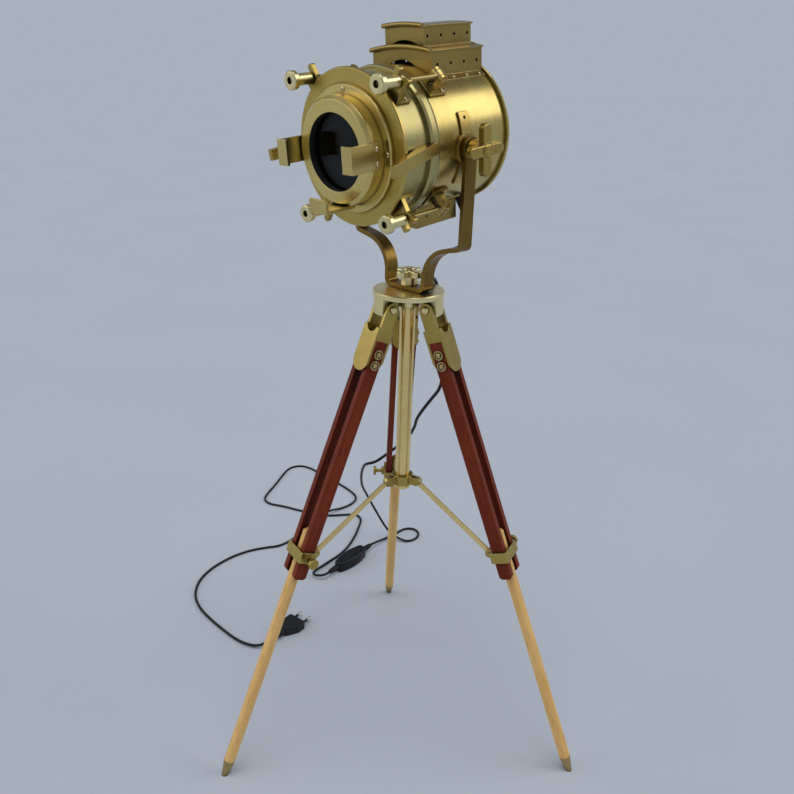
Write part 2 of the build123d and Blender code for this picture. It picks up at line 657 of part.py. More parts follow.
def hinge_lug(angle):
    """Rear lug of a swing bolt: foot plate and two round ears."""
    y0 = SWING_PIVOT_Y - LUG_FOOT_LENGTH / 2
    y1 = SWING_PIVOT_Y + LUG_FOOT_LENGTH / 2
    chord = sqrt(DRUM_R ** 2 - (LUG_FOOT_W / 2) ** 2)
    lug = block(chord, DRUM_R + LUG_FOOT_T, y0, y1, -LUG_FOOT_W / 2, LUG_FOOT_W / 2)
    for sign in (1, -1):
        z0 = sign * EAR_GAP / 2
        z1 = sign * (EAR_GAP / 2 + EAR_T)
        lug += block(DRUM_R, SWING_R, SWING_PIVOT_Y - EYE_R, SWING_PIVOT_Y + EYE_R, z0, z1)
        lug += rod_z(EYE_R, z0, z1, SWING_R, SWING_PIVOT_Y)
    lug -= rod_z(PIN_R, -LUG_FOOT_W, LUG_FOOT_W, SWING_R, SWING_PIVOT_Y)
    return round_the_drum(angle) * (lug - drum_core(DRUM_R))


def fork_lug(angle):
    """Front fork of a swing bolt: foot plate and two horns beside the rod."""
    chord = sqrt(BARREL_R ** 2 - (FORK_FOOT_W / 2) ** 2)
    back = FORK_FRONT + FORK_T
    half = FORK_FOOT_W / 2
    tip = SWING_R + FORK_REACH
    slot = ROD_R + FORK_SLOT_AIR
    floor = SWING_R - slot
    foot = block(chord, BARREL_R + LUG_FOOT_T, FORK_FRONT, FORK_FOOT_BACK, -half, half)
    waist = half * FORK_WAIST_SHARE
    horn = half * FORK_HORN_SHARE
    inner = slot + (horn - slot) * FORK_LEAD_SHARE
    points = [(chord, half), (BARREL_R + LUG_FOOT_T, half), (floor, waist), (tip, horn),
              (tip, inner), (SWING_R + slot, slot), (floor, slot)]
    outline = Polyline(*points, *[(x, -z) for x, z in reversed(points)], close=True)
    horns = prism_y(make_face(outline), FORK_FRONT, back)
    horns = fillet(horns.edges().filter_by(Axis.Y).group_by(Axis.X)[-1], (horn - inner) * FORK_ROUND_SHARE)
    return round_the_drum(angle) * (foot + horns - drum_core(BARREL_R))


def swing_bolt(angle):
    """Rod with an eye at its rear end."""
    eye_t = EAR_GAP - 2 * AIR
    end = FORK_FRONT - NUT_GAP - NUT_NECK_LENGTH - NUT_HEAD_T + NUT_MOUTH_DEPTH
    bolt = rod_z(EYE_R, -eye_t / 2, eye_t / 2, SWING_R, SWING_PIVOT_Y)
    bolt += rod_y(ROD_R, end, SWING_PIVOT_Y, SWING_R)
    bolt -= rod_z(PIN_R + RUN, -EAR_GAP, EAR_GAP, SWING_R, SWING_PIVOT_Y)
    return round_the_drum(angle) * bolt


def thumb_nut(angle):
    """Long flanged nut on the front end of a swing bolt."""
    back = FORK_FRONT - NUT_GAP
    neck = back - NUT_NECK_LENGTH
    front = neck - NUT_HEAD_T
    mouth = front + NUT_MOUTH_DEPTH
    bore = ROD_R + RUN
    nut = turned([(bore, back), (NUT_NECK_R, back), (NUT_NECK_R, neck), (NUT_HEAD_R - NUT_EDGE, neck),
                  (NUT_HEAD_R, neck - NUT_EDGE), (NUT_HEAD_R, front + NUT_EDGE),
                  (NUT_HEAD_R - NUT_EDGE, front), (NUT_MOUTH_R, front), (NUT_MOUTH_R, mouth), (bore, mouth)])
    return round_the_drum(angle) * Pos(SWING_R, 0, 0) * nut


def swing_pin(angle):
    """Pin through a hinge lug."""
    half = EAR_GAP / 2 + EAR_T
    return round_the_drum(angle) * rod_z(PIN_R, -half, half, SWING_R, SWING_PIVOT_Y)


def pivot_strap(sign):
    """Strap on the drum's side with the boss that takes the tilt bolt."""
    skin = rod_y(DRUM_R + STRAP_T, -STRAP_W / 2, STRAP_W / 2) - drum_core(DRUM_R)
    strap = skin & block(0, ARM_IN_X, -STRAP_W / 2, STRAP_W / 2, STRAP_BOTTOM, STRAP_TOP)
    boss = rod_x(BOSS_R, DRUM_R - COVER_RIM_T, ARM_IN_X - AIR, 0, PIVOT_DROP) - drum_core(DRUM_R)
    strap = strap + boss - rod_x(TILT_BOLT_R + RUN, 0, ARM_IN_X, 0, PIVOT_DROP)
    strap -= rod_x(VENT_HOLE_R, 0, ARM_IN_X, 0, STRAP_TOP - STRAP_HOLE_INSET)
    return strap if sign > 0 else mirror(strap, Plane.YZ)


def cross_knob(span, collar_t, bolt_r, grip):
    """Cross-shaped hand knob above Z = 0, its bolt below."""
    wing = SlotOverall(span, KNOB_WING_W)
    cross = prism_z(wing + Rot(0, 0, 90) * wing, collar_t, collar_t + KNOB_T)
    cross = fillet(cross.faces().sort_by(Axis.Z)[-1].edges(), KNOB_EDGE)
    dome = rod_z(KNOB_DOME_R, collar_t + KNOB_T, collar_t + KNOB_T + KNOB_DOME_T)
    dome = fillet(dome.edges().sort_by(Axis.Z)[-1], KNOB_DOME_T * DOME_SHARE)
    return cross + dome + rod_z(KNOB_COLLAR_R, 0, collar_t) + rod_z(bolt_r, -grip, 0)


def tilt_knob(sign):
    """Hand knob outside a yoke arm, its bolt through the arm into the boss."""
    knob = cross_knob(KNOB_SPAN, KNOB_COLLAR_T, TILT_BOLT_R, TILT_BOLT_GRIP)
    return Pos(sign * (ARM_OUT_X + AIR), 0, PIVOT_DROP) * Rot(0, sign * 90, 0) * knob


def pan_knob():
    """Hand knob on the yoke's base, its bolt into the tripod head."""
    knob = cross_knob(PAN_KNOB_SPAN, PAN_KNOB_COLLAR_T, PAN_BOLT_R, ARM_T + 2 * AIR + PAN_BOLT_GRIP)
    return Pos(0, 0, DISC_TOP_Z + ARM_T + 2 * AIR) * knob


def yoke():
    """Flat bar bent into a fork with swept shoulders."""
    base_z = DISC_TOP_Z + AIR + ARM_T / 2
    inner_z = SHOULDER_Z - SHOULDER_DIP
    right = [(ARM_X, 0, PIVOT_Z), (ARM_X, 0, SHOULDER_Z), (YOKE_FOOT_X, 0, inner_z), (YOKE_FOOT_X, 0, base_z)]
    left = [(-x, y, z) for x, y, z in reversed(right)]
    bends = [SHOULDER_R, YOKE_SWEEP_R, YOKE_FOOT_BEND_R]
    path = FilletPolyline(*right, *left, radius=bends + bends[::-1])
    section = Plane(origin=path @ 0, x_dir=(0, 1, 0), z_dir=path % 0) * Rectangle(ARM_W, ARM_T)
    bar = sweep(section, path=path)
    for sign in (1, -1):
        bar += rod_x(ARM_EYE_R, sign * ARM_IN_X, sign * ARM_OUT_X, 0, PIVOT_Z)
        bar -= rod_x(TILT_BOLT_R + RUN, sign * (ARM_IN_X - CUT), sign * (ARM_OUT_X + CUT), 0, PIVOT_Z)
    return bar - rod_z(PAN_BOLT_R + RUN, DISC_TOP_Z - CUT, DISC_TOP_Z + ARM_T + CUT)


def cable_gland():
    """Gland on the drum's underside with a tapered nose for the cord."""
    root = sqrt(DRUM_R ** 2 - GLAND_FLANGE_R ** 2)
    seat = DRUM_R + GLAND_FLANGE_T
    tip = DRUM_R + GLAND_LENGTH
    nose = Pos((seat + tip) / 2, 0, 0) * Rot(0, 90, 0) * Cone(GLAND_NOSE_R, GLAND_TIP_R, tip - seat)
    gland = rod_x(GLAND_FLANGE_R, root, seat) + nose
    return round_the_drum(GLAND_ANGLE) * (Pos(0, GLAND_Y, 0) * gland - drum_core(DRUM_R))


def head_screws():
    """Slotted heads on the lens ring, the clips and the lug feet, rivets on the chimney's foot strips."""
    screw = slotted_head(SCREW_R, SCREW_HEAD_T)
    rivet = screw_head(STRIP_RIVET_R, STRIP_RIVET_T)
    ring = Pos(0, LENS_RING_FRONT, 0) * Rot(90, 0, 0)
    clip_x = BEZEL_R - CLIP_SADDLE + CLIP_T
    clip_y = BEZEL_FRONT + CLIP_SEAT / 2
    lug_x = DRUM_R + LUG_FOOT_T
    lug_y = SWING_PIVOT_Y + LUG_FOOT_LENGTH / 2 - SCREW_R - SHEET / 2
    fork_x = BARREL_R + LUG_FOOT_T
    fork_y = FORK_FOOT_BACK - SCREW_R - SHEET
    screws = [Rot(0, -a, 0) * Pos(RING_SCREW_R, 0, 0) * ring * screw for a in RING_SCREW_ANGLES]
    side = Rot(0, 90, 0)
    for angle in CLIP_ANGLES:
        for z in (-CLIP_SCREW_SPACING / 2, CLIP_SCREW_SPACING / 2):
            screws.append(round_the_drum(angle) * Pos(clip_x, clip_y, z) * side * screw)
    for angle in SWING_ANGLES:
        turn = round_the_drum(angle)
        for sign in (1, -1):
            lug_z = sign * (LUG_FOOT_W / 2 - SCREW_R - SHEET / 2)
            fork_z = sign * (FORK_FOOT_W / 2 - SCREW_R - SHEET / 2)
            screws.append(turn * Pos(lug_x, lug_y, lug_z) * side * screw)
            screws.append(turn * Pos(fork_x, fork_y, fork_z) * side * screw)
    strip_x = (LOW_TIER_W + FOOT_STRIP) / 2
    strip_angle = degrees(atan2(sqrt(DRUM_R ** 2 - strip_x ** 2), strip_x))
    for angle in (strip_angle, 180 - strip_angle):
        for y in vent_row(LOW_TIER_FRONT):
            screws.append(round_the_drum(angle) * Pos(DRUM_R + FOOT_STRIP_T, y, 0) * side * rivet)
    return screws


def tripod_head():
    """Round head with a column socket and three hinge lugs."""
    disc = rod_z(DISC_R, DISC_TOP_Z - DISC_T, DISC_TOP_Z)
    disc = chamfer(disc.edges().group_by(Axis.Z)[-1], DISC_EDGE)
    under = DISC_TOP_Z - DISC_T
    head = disc + rod_z(SOCKET_R, under - SOCKET_T, under)
    for k in range(LEG_COUNT):
        lug = block(HINGE_R - LUG_DEPTH / 2, DISC_R, -LUG_W / 2, LUG_W / 2, HINGE_Z - LUG_APRON, under)
        lug += rod_y(LUG_EYE_R, -LUG_W / 2, LUG_W / 2, HINGE_R, HINGE_Z)
        lug &= rod_z(DISC_R, HINGE_Z - LUG_DEPTH, under)
        head += leg_turn(k) * lug
    for k in range(LEG_COUNT):
        head -= leg_turn(k) * rod_y(HINGE_BOLT_R, -LUG_W, LUG_W, HINGE_R, HINGE_Z)
    head -= rod_z(COLUMN_R, under - SOCKET_T - CUT, under)
    return head - rod_z(PAN_BOLT_R + RUN, under - CUT, DISC_TOP_Z + CUT)


def hinge_bolt(k):
    """Bolt that a leg folds about, with a head each side."""
    bolt = rod_y(HINGE_BOLT_R, -LEG_HALF_W - AIR, LEG_HALF_W + AIR, HINGE_R, HINGE_Z)
    for sign in (1, -1):
        seat = sign * (LEG_HALF_W + AIR)
        head = screw_head(BOLT_HEAD_R, BOLT_HEAD_T)
        bolt += Pos(HINGE_R, seat, HINGE_Z) * Rot(-sign * 90, 0, 0) * head
    return leg_turn(k) * bolt


def column():
    """Centre tube under the head."""
    top = DISC_TOP_Z - DISC_T
    return rod_z(COLUMN_R, COLUMN_END_Z, top) - rod_z(COLUMN_R - COLUMN_WALL, COLUMN_END_Z - CUT, top + CUT)


def column_nut():
    """Domed stop nut at the column's lower end."""
    nut = rod_z(END_NUT_R, COLUMN_END_Z - END_NUT_T, COLUMN_END_Z)
    return fillet(nut.edges().sort_by(Axis.Z)[0], END_NUT_T * RIM_ROUND_SHARE)


def leg_turn(k):
    """Turn from +X to a leg's own direction."""
    return Rot(0, 0, LEG_TURN + k * 360 / LEG_COUNT)


def leg_place(k):
    """Placement of a leg drawn hanging straight down from its hinge."""
    return leg_turn(k) * Pos(HINGE_R, 0, HINGE_Z) * Rot(0, -SPREAD, 0)


def leg_bracket():
    """Leg-top casting: two round-topped cheeks, a tongue between the rails and two notched plates."""
    depth = LEG_HALF_DEPTH
    cheek_in = LUG_W / 2 + AIR
    bracket = block(-depth, depth, -LEG_HALF_W, LEG_HALF_W, -RAIL_TOP, 0)
    bracket += rod_y(depth, -LEG_HALF_W, LEG_HALF_W)
    bracket += block(-depth, depth, -RAIL_GAP / 2, RAIL_GAP / 2, -TONGUE_END, -RAIL_TOP)
    for sign, end in ((1, PLATE_END), (-1, INNER_PLATE_END)):
        plate = block(sign * depth, sign * (depth + PLATE_T), -LEG_HALF_W, LEG_HALF_W, -end, -PLATE_TOP)
        low_corners = plate.edges().filter_by(Axis.X).group_by(Axis.Z)[0]
        bracket += fillet(low_corners, PLATE_CORNER_R)
    out = depth + PLATE_T + CUT
    bracket -= rod_x(cheek_in, -out, out, 0, cheek_in - NOTCH_END)
    bracket -= block(-out, out, -cheek_in, cheek_in, cheek_in - NOTCH_END, out)
    return bracket - rod_y(HINGE_BOLT_R + RUN, -LEG_HALF_W - CUT, LEG_HALF_W + CUT)


def rail_bolt(drop):
    """Bolt through both rails and the tongue, its round heads sunk in cup washers."""
    bolt = rod_y(RAIL_BOLT_R, -LEG_HALF_W, LEG_HALF_W, 0, -drop)
    for sign in (1, -1):
        seat = sign * LEG_HALF_W
        floor = seat + sign * WASHER_FLOOR
        bolt += rod_y(WASHER_R, seat, seat + sign * WASHER_T, 0, -drop)
        bolt -= rod_y(WASHER_CUP_R, floor, seat + sign * CUT, 0, -drop)
        head = screw_head(RAIL_BOLT_HEAD_R, BOLT_HEAD_T)
        bolt += Pos(0, floor, -drop) * Rot(-sign * 90, 0, 0) * head
    return bolt


def rail(sign):
    """One of a leg's two upper rails, chamfered at its lower end."""
    y0 = sign * RAIL_GAP / 2
    y1 = sign * LEG_HALF_W
    bar = block(-LEG_HALF_DEPTH, LEG_HALF_DEPTH, y0, y1, -RAIL_END, -RAIL_TOP)
    ends = bar.edges().filter_by(Axis.Y).group_by(Axis.Z)[0]
    bar = chamfer(ends, RAIL_CHAMFER)
    return bar - [rod_y(RAIL_BOLT_R, -LEG_HALF_W, LEG_HALF_W, 0, -drop) for drop in RAIL_BOLT_DROPS]


def leg_clamp():
    """Stirrup round the rails, with the screw's boss and the strut's ears."""
    depth = LEG_HALF_DEPTH + CLAMP_T
    width = LEG_HALF_W + CLAMP_T
    low = -CLAMP_DROP - CLAMP_H / 2
    high = -CLAMP_DROP + CLAMP_H / 2
    ring = block(-depth, depth, -width, width, low, high)
    ring -= block(-LEG_HALF_DEPTH, LEG_HALF_DEPTH, -LEG_HALF_W, LEG_HALF_W, low - CUT, high + CUT)
    ring += rod_y(CLAMP_BOSS_R, width, width + CLAMP_BOSS_T, 0, -CLAMP_DROP)
    ring -= rod_y(CLAMP_SCREW_R + RUN, LEG_HALF_W - SHEET, width + CLAMP_BOSS_T + CUT, 0, -CLAMP_DROP)
    for sign in (1, -1):
        y0 = sign * (STRUT_T / 2 + AIR)
        y1 = y0 + sign * LUG_PLATE_T
        ring += block(STRUT_PIVOT_X, -depth, y0, y1, -CLAMP_DROP - LUG_PLATE_R, -CLAMP_DROP + LUG_PLATE_R)
        ring += rod_y(LUG_PLATE_R, y0, y1, STRUT_PIVOT_X, -CLAMP_DROP)
        ring += rod_y(STRUT_PIN_R, y1, y1 + sign * SHEET, STRUT_PIVOT_X, -CLAMP_DROP)
    return ring


def clamp_screw():
    """Thumbscrew that squeezes a stirrup."""
    tip = LEG_HALF_W + AIR
    neck = LEG_HALF_W + CLAMP_T + CLAMP_BOSS_T + CLAMP_SCREW_NECK
    head = rod_y(CLAMP_SCREW_HEAD_R, neck, neck + CLAMP_SCREW_HEAD_T, 0, -CLAMP_DROP)
    head = fillet(head.edges().filter_by(GeomType.CIRCLE), CLAMP_SCREW_EDGE)
    return head + rod_y(CLAMP_SCREW_R, tip, neck, 0, -CLAMP_DROP)


def leg_rod():
    """Round lower leg, pointed at the top."""
    top = LEG_ROD_ABOVE_CLAMP - CLAMP_DROP
    bar = rod_z(LEG_ROD_R, FERRULE_LENGTH - LEG_LENGTH, top)
    return chamfer(bar.edges().sort_by(Axis.Z)[-1], LEG_ROD_CHAMFER)


def ferrule():
    """Conical tip under a lower leg, before its level sole is cut."""
    length = FERRULE_LENGTH + FERRULE_SINK
    return Pos(0, 0, FERRULE_LENGTH - LEG_LENGTH - length / 2) * Cone(FERRULE_TIP_R, FERRULE_R, length)


def spider_hub():
    """Collar that slides on the column, with three pairs of ears."""
    hub = rod_z(HUB_R, HUB_Z - HUB_H / 2, HUB_Z + HUB_H / 2)
    for k in range(LEG_COUNT):
        for sign in (1, -1):
            y0 = sign * (STRUT_T / 2 + AIR)
            y1 = y0 + sign * HUB_EAR_T
            ear = block(COLUMN_R + COLUMN_WALL, HUB_PIVOT_R, y0, y1, HUB_Z - HUB_EAR_R, HUB_Z + HUB_EAR_R)
            ear += rod_y(HUB_EAR_R, y0, y1, HUB_PIVOT_R, HUB_Z)
            hub += leg_turn(k) * ear
    for k in range(LEG_COUNT):
        hub -= leg_turn(k) * rod_y(STRUT_PIN_R, -HUB_R, HUB_R, HUB_PIVOT_R, HUB_Z)
    return hub - rod_z(COLUMN_R + RUN, HUB_Z - HUB_H, HUB_Z + HUB_H)


def hub_pin(k):
    """Pin through a pair of hub ears."""
    half = STRUT_T / 2 + AIR + HUB_EAR_T
    return leg_turn(k) * rod_y(STRUT_PIN_R, -half, half, HUB_PIVOT_R, HUB_Z)


def strut(k):
    """Flat strut from the hub to a leg's stirrup."""
    far_r = HINGE_R + STRUT_PIVOT_X * cos(radians(SPREAD)) + CLAMP_DROP * sin(radians(SPREAD))
    far_z = HINGE_Z + STRUT_PIVOT_X * sin(radians(SPREAD)) - CLAMP_DROP * cos(radians(SPREAD))
    length = sqrt((far_r - HUB_PIVOT_R) ** 2 + (HUB_Z - far_z) ** 2)
    dip = degrees(atan2(HUB_Z - far_z, far_r - HUB_PIVOT_R))
    bar = block(0, length, -STRUT_T / 2, STRUT_T / 2, -STRUT_W / 2, STRUT_W / 2)
    for x in (0, length):
        bar += rod_y(STRUT_EYE_R, -STRUT_T / 2, STRUT_T / 2, x)
    bar -= rod_y(STRUT_PIN_R + RUN, -STRUT_T, STRUT_T)
    return leg_turn(k) * Pos(HUB_PIVOT_R, 0, HUB_Z) * Rot(0, dip, 0) * bar


def switch_place():
    """Placement of the inline switch, lying on the floor along its own X."""
    return Pos(SWITCH_X, SWITCH_Y, 0) * Rot(0, 0, SWITCH_TURN)


def switch_body():
    """Inline switch housing, widest at its middle, with a tapered relief at each end."""
    half = SWITCH_LENGTH / 2
    side = SWITCH_W / 2
    blunt = SWITCH_END_W / 2
    outline = [Line((half, -blunt), (half, blunt)), ThreePointArc((half, blunt), (0, side), (-half, blunt)),
               Line((-half, blunt), (-half, -blunt)),
               ThreePointArc((-half, -blunt), (0, -side), (half, -blunt))]
    shell = prism_z(make_face(outline), 0, SWITCH_H)
    shell = fillet(shell.edges().filter_by(Axis.Z), SWITCH_CORNER)
    shell = fillet(shell.faces().sort_by(Axis.Z)[-1].edges(), SWITCH_EDGE)
    shell = fillet(shell.faces().sort_by(Axis.Z)[0].edges(), SWITCH_EDGE / 2)
    root = half - SWITCH_EDGE
    end = half + RELIEF_LENGTH
    for sign in (1, -1):
        cone = Cone(RELIEF_ROOT_R, RELIEF_TIP_R, end - root)
        shell += Pos(sign * (root + end) / 2, 0, SWITCH_H / 2) * Rot(0, sign * 90, 0) * cone
    well = block(-ROCKER_LENGTH / 2 - ROCKER_AIR, ROCKER_LENGTH / 2 + ROCKER_AIR, -ROCKER_W / 2 - ROCKER_AIR,
                 ROCKER_W / 2 + ROCKER_AIR, SWITCH_H - ROCKER_DEPTH - ROCKER_AIR, SWITCH_H + CUT)
    pin_end = SWITCH_W * ROCKER_PIN_SHARE
    pin = rod_y(ROCKER_PIN_R, -pin_end, pin_end, 0, SWITCH_H - ROCKER_DEPTH / 2)
    return shell - well + pin


def switch_rocker():
    """Rocker on its pin, pressed at the plug side."""
    half = ROCKER_LENGTH / 2
    low = SWITCH_H - ROCKER_DEPTH
    crown = SWITCH_H + ROCKER_PROUD
    outline = Polyline((-half, low + ROCKER_PROUD), (0, low), (half, low + ROCKER_PROUD), (half, SWITCH_H),
                       (0, SWITCH_H), (-half, crown), close=True)
    rocker = prism_y(make_face(outline), -ROCKER_W / 2, ROCKER_W / 2)
    return rocker - rod_y(ROCKER_PIN_R + RUN, -ROCKER_W, ROCKER_W, 0, SWITCH_H - ROCKER_DEPTH / 2)


def plug_place():
    """Placement of the plug, lying on the floor with its pins along its own X."""
    return Pos(PLUG_X, PLUG_Y, PLUG_H / 2) * Rot(0, 0, PLUG_TURN)


def plug_body():
    """Flat two-pin plug that widens towards its pins."""
    nose = PLUG_RELIEF + PLUG_BODY_LENGTH
    wide = PLUG_RELIEF + PLUG_BODY_LENGTH * PLUG_SHOULDER_SHARE
    outline = Polyline((PLUG_RELIEF, PLUG_TAIL_W / 2), (wide, PLUG_BODY_W / 2), (nose, PLUG_BODY_W / 2),
                       (nose, -PLUG_BODY_W / 2), (wide, -PLUG_BODY_W / 2), (PLUG_RELIEF, -PLUG_TAIL_W / 2),
                       close=True)
    body = prism_z(make_face(outline), -PLUG_H / 2, PLUG_H / 2)
    body = fillet(body.edges().filter_by(Axis.Z), PLUG_EDGE)
    for end in (-1, 0):
        body = fillet(body.faces().sort_by(Axis.Z)[end].edges(), PLUG_EDGE * RIM_ROUND_SHARE)
    reach = PLUG_RELIEF + PLUG_EDGE
    relief = Pos(reach / 2, 0, 0) * Rot(0, 90, 0) * Cone(RELIEF_TIP_R, RELIEF_ROOT_R, reach)
    return body + relief


def plug_pins():
    """Two round pins, rounded at their tips."""
    root = PLUG_RELIEF + PLUG_BODY_LENGTH
    pins = []
    for sign in (1, -1):
        pin = rod_x(PLUG_PIN_R, root, root + PLUG_PIN_LENGTH, sign * PLUG_PIN_PITCH / 2)
        pins.append(fillet(pin.edges().sort_by(Axis.X)[-1], PLUG_PIN_R * DOME_SHARE))
    return pins


def cord_tube(name, route):
    """Tube along straight runs joined by tangent arcs as large as the runs allow."""
    points = [Vector(*p) for p in route]
    radii = []
    for a, b, c in zip(points, points[1:], points[2:]):
        shorter = min((b - a).length, (c - b).length)
        radii.append(ARC_SHARE * shorter / tan(radians((b - a).get_angle(c - b)) / 2))
    path = FilletPolyline(*points, radius=radii)
    tube = sweep(Plane(origin=path @ 0, z_dir=path % 0) * Circle(CORD_R), path=path)
    plain = Circle(CORD_R).area * path.length
    print(name, "length", round(path.length), "tightest radius", round(min(radii), 1),
          "volume share", round(tube.volume / plain, 4))
    return tube


def along(place, distance):
    """Point on a placement's own X axis, at that distance from its origin."""
    return tuple((place * Pos(distance, 0, 0)).position)


def cords():
    """The cord's three stretches: lamp to yoke foot, yoke foot to switch, switch to plug."""
    gland = HEAD * round_the_drum(GLAND_ANGLE) * Pos(0, GLAND_Y, 0)
    tip = DRUM_R + GLAND_LENGTH
    start = [along(gland, tip), along(gland, tip + GLAND_STRAIGHT)]
    switch = switch_place() * Pos(0, 0, SWITCH_H / 2)
    reach = SWITCH_LENGTH / 2 + RELIEF_LENGTH
    into_switch = [along(switch, -reach - SWITCH_STRAIGHT), along(switch, -reach)]
    from_switch = [along(switch, reach), along(switch, reach + SWITCH_STRAIGHT)]
    into_plug = [along(plug_place(), -PLUG_STRAIGHT), along(plug_place(), 0)]
    return {
        "cord_head": cord_tube("cord_head", start + HEAD_ROUTE),
        "cord_drop": cord_tube("cord_drop", HEAD_ROUTE[-1:] + DROP_ROUTE + into_switch),
        "cord_tail": cord_tube("cord_tail", from_switch + TAIL_ROUTE + into_plug),
    }


def head_nodes():
    """Pieces of the lamp head, in the lamp's own frame."""
    nodes = {
        "rear_drum": [rear_drum()],
        "rear_cover": [rear_cover()],
        "front_barrel": [front_barrel()],
        "front_flange": [front_flange()],
        "lens_ring": [lens_ring()],
        "bezel_ring": [bezel_ring()],
        "lens_glass": [lens_glass()],
        "lens_retainer": [lens_retainer()],
        "bulb": [bulb()],
        "lamp_holder": [lamp_holder()],
        "chimney_lower": [low_tier()],
        "chimney_upper": [top_tier()],
        "vent_box": [vent_box()],
        "filter_clips": [filter_clip(angle) for angle in CLIP_ANGLES],
        "side_handles": [side_handle(sign) for sign in (1, -1)],
        "hinge_lugs": [hinge_lug(angle) for angle in SWING_ANGLES],
        "fork_lugs": [fork_lug(angle) for angle in SWING_ANGLES],
        "pivot_straps": [pivot_strap(sign) for sign in (1, -1)],
        "head_screws": head_screws() + [swing_pin(angle) for angle in SWING_ANGLES],
        "cable_gland": [cable_gland()],
        "tilt_knob_left": [tilt_knob(1)],
        "tilt_knob_right": [tilt_knob(-1)],
    }
    for number, angle in enumerate(SWING_ANGLES, 1):
        nodes[f"swing_bolt_{number}"] = [swing_bolt(angle)]
        nodes[f"thumb_nut_{number}"] = [thumb_nut(angle)]
    return {name: [HEAD * solid for solid in solids] for name, solids in nodes.items()}


def tripod_nodes():
    """Yoke, tripod head, column, legs and struts, in the row frame."""
    nodes = {
        "yoke": [yoke()],
        "pan_knob": [pan_knob()],
        "tripod_head": [tripod_head()] + [hinge_bolt(k) for k in range(LEG_COUNT)],
        "column": [column(), column_nut()],
        "spider_hub": [spider_hub()] + [hub_pin(k) for k in range(LEG_COUNT)],
    }
    bolts = [rail_bolt(drop) for drop in RAIL_BOLT_DROPS]
    bracket = leg_bracket() - [rod_y(RAIL_BOLT_R, -RAIL_GAP, RAIL_GAP, 0, -drop) for drop in RAIL_BOLT_DROPS]
    above_floor = rod_z(FOOT_CIRCLE_R * 2, 0, HINGE_Z)
    for k in range(LEG_COUNT):
        place = leg_place(k)
        number = k + 1
        nodes[f"leg_bracket_{number}"] = [place * bracket] + [place * bolt for bolt in bolts]
        nodes[f"leg_rails_{number}"] = [place * rail(sign) for sign in (1, -1)]
        nodes[f"leg_clamp_{number}"] = [place * leg_clamp()]
        nodes[f"clamp_screw_{number}"] = [place * clamp_screw()]
        nodes[f"lower_leg_{number}"] = [place * leg_rod(), place * ferrule() & above_floor]
        nodes[f"strut_{number}"] = [strut(k)]
    return nodes


def cord_nodes():
    """Cord stretches, switch and plug."""
    nodes = {name: [tube] for name, tube in cords().items()}
    nodes["switch_body"] = [switch_place() * switch_body()]
    nodes["switch_rocker"] = [switch_place() * switch_rocker()]
    nodes["plug_body"] = [plug_place() * plug_body()]
    nodes["plug_pins"] = [plug_place() * pin for pin in plug_pins()]
    return nodes


def main():
    """Write one file for each node."""
    os.makedirs("parts", exist_ok=True)
    nodes = {**head_nodes(), **tripod_nodes(), **cord_nodes()}
    for name, solids in nodes.items():
        pieces = [s for solid in solids for s in solid.solids()]
        export_step(pieces[0] if len(pieces) == 1 else Compound(children=pieces), f"parts/{name}.step")


if __name__ == "__main__":
    main()
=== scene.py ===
"""Dresses the tripod spotlight: brass lamp head, yoke, wooden tripod and the flex with its switch and plug."""
import logging
from collections.abc import Callable
from dataclasses import dataclass, field
from enum import Enum
from math import cos, hypot, pi, radians, sin
from typing import Any

import bmesh
import bpy
from mathutils import Matrix, Vector


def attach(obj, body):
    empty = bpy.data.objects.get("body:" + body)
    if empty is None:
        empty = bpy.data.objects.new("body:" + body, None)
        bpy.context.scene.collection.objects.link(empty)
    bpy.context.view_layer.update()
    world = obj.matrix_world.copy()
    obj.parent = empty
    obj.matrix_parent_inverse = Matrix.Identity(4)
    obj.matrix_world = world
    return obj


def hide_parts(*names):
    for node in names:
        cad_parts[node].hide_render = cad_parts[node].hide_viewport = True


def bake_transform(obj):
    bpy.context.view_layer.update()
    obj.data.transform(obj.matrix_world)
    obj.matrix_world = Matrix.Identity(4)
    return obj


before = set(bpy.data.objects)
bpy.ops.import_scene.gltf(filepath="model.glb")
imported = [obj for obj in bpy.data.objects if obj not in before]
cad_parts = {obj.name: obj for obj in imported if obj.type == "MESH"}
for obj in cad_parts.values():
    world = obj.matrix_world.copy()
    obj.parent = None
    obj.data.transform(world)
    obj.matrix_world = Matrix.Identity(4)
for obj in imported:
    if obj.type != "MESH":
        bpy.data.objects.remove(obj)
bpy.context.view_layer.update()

log = logging.getLogger("spotlight")

Colour = tuple[float, float, float]
Point = tuple[float, float, float]
Span = tuple[float, float]
Profile = list[tuple[float, float]]
Socket = bpy.types.NodeSocket

# Lengths are in metres and angles in degrees, apart from the two turns for the shaders, which are in radians.
LAMP_TILT = 6.0
LAMP_CENTRE: Point = (0.0, -0.000627, 0.721967)
LAMP_TURN: Point = (radians(LAMP_TILT), 0.0, 0.0)
LAMP_PLACE = Matrix.Translation(LAMP_CENTRE) @ Matrix.Rotation(radians(LAMP_TILT), 4, "X")
LAMP_FRAME = LAMP_PLACE.inverted()
UPRIGHT_TURN: Point = (radians(90), 0.0, 0.0)
LEG_TURNS = (16.94, 136.94, 256.94)
LEG_SPREAD = 21.16
SHARP_ANGLE = 38.0


class Grain(Enum):
    """How a metal surface was worked."""

    LATHE = "fine turned rings"
    DRAWN = "straight lines along a bar"
    CAST = "faint uneven skin"
    THREAD = "cut thread"


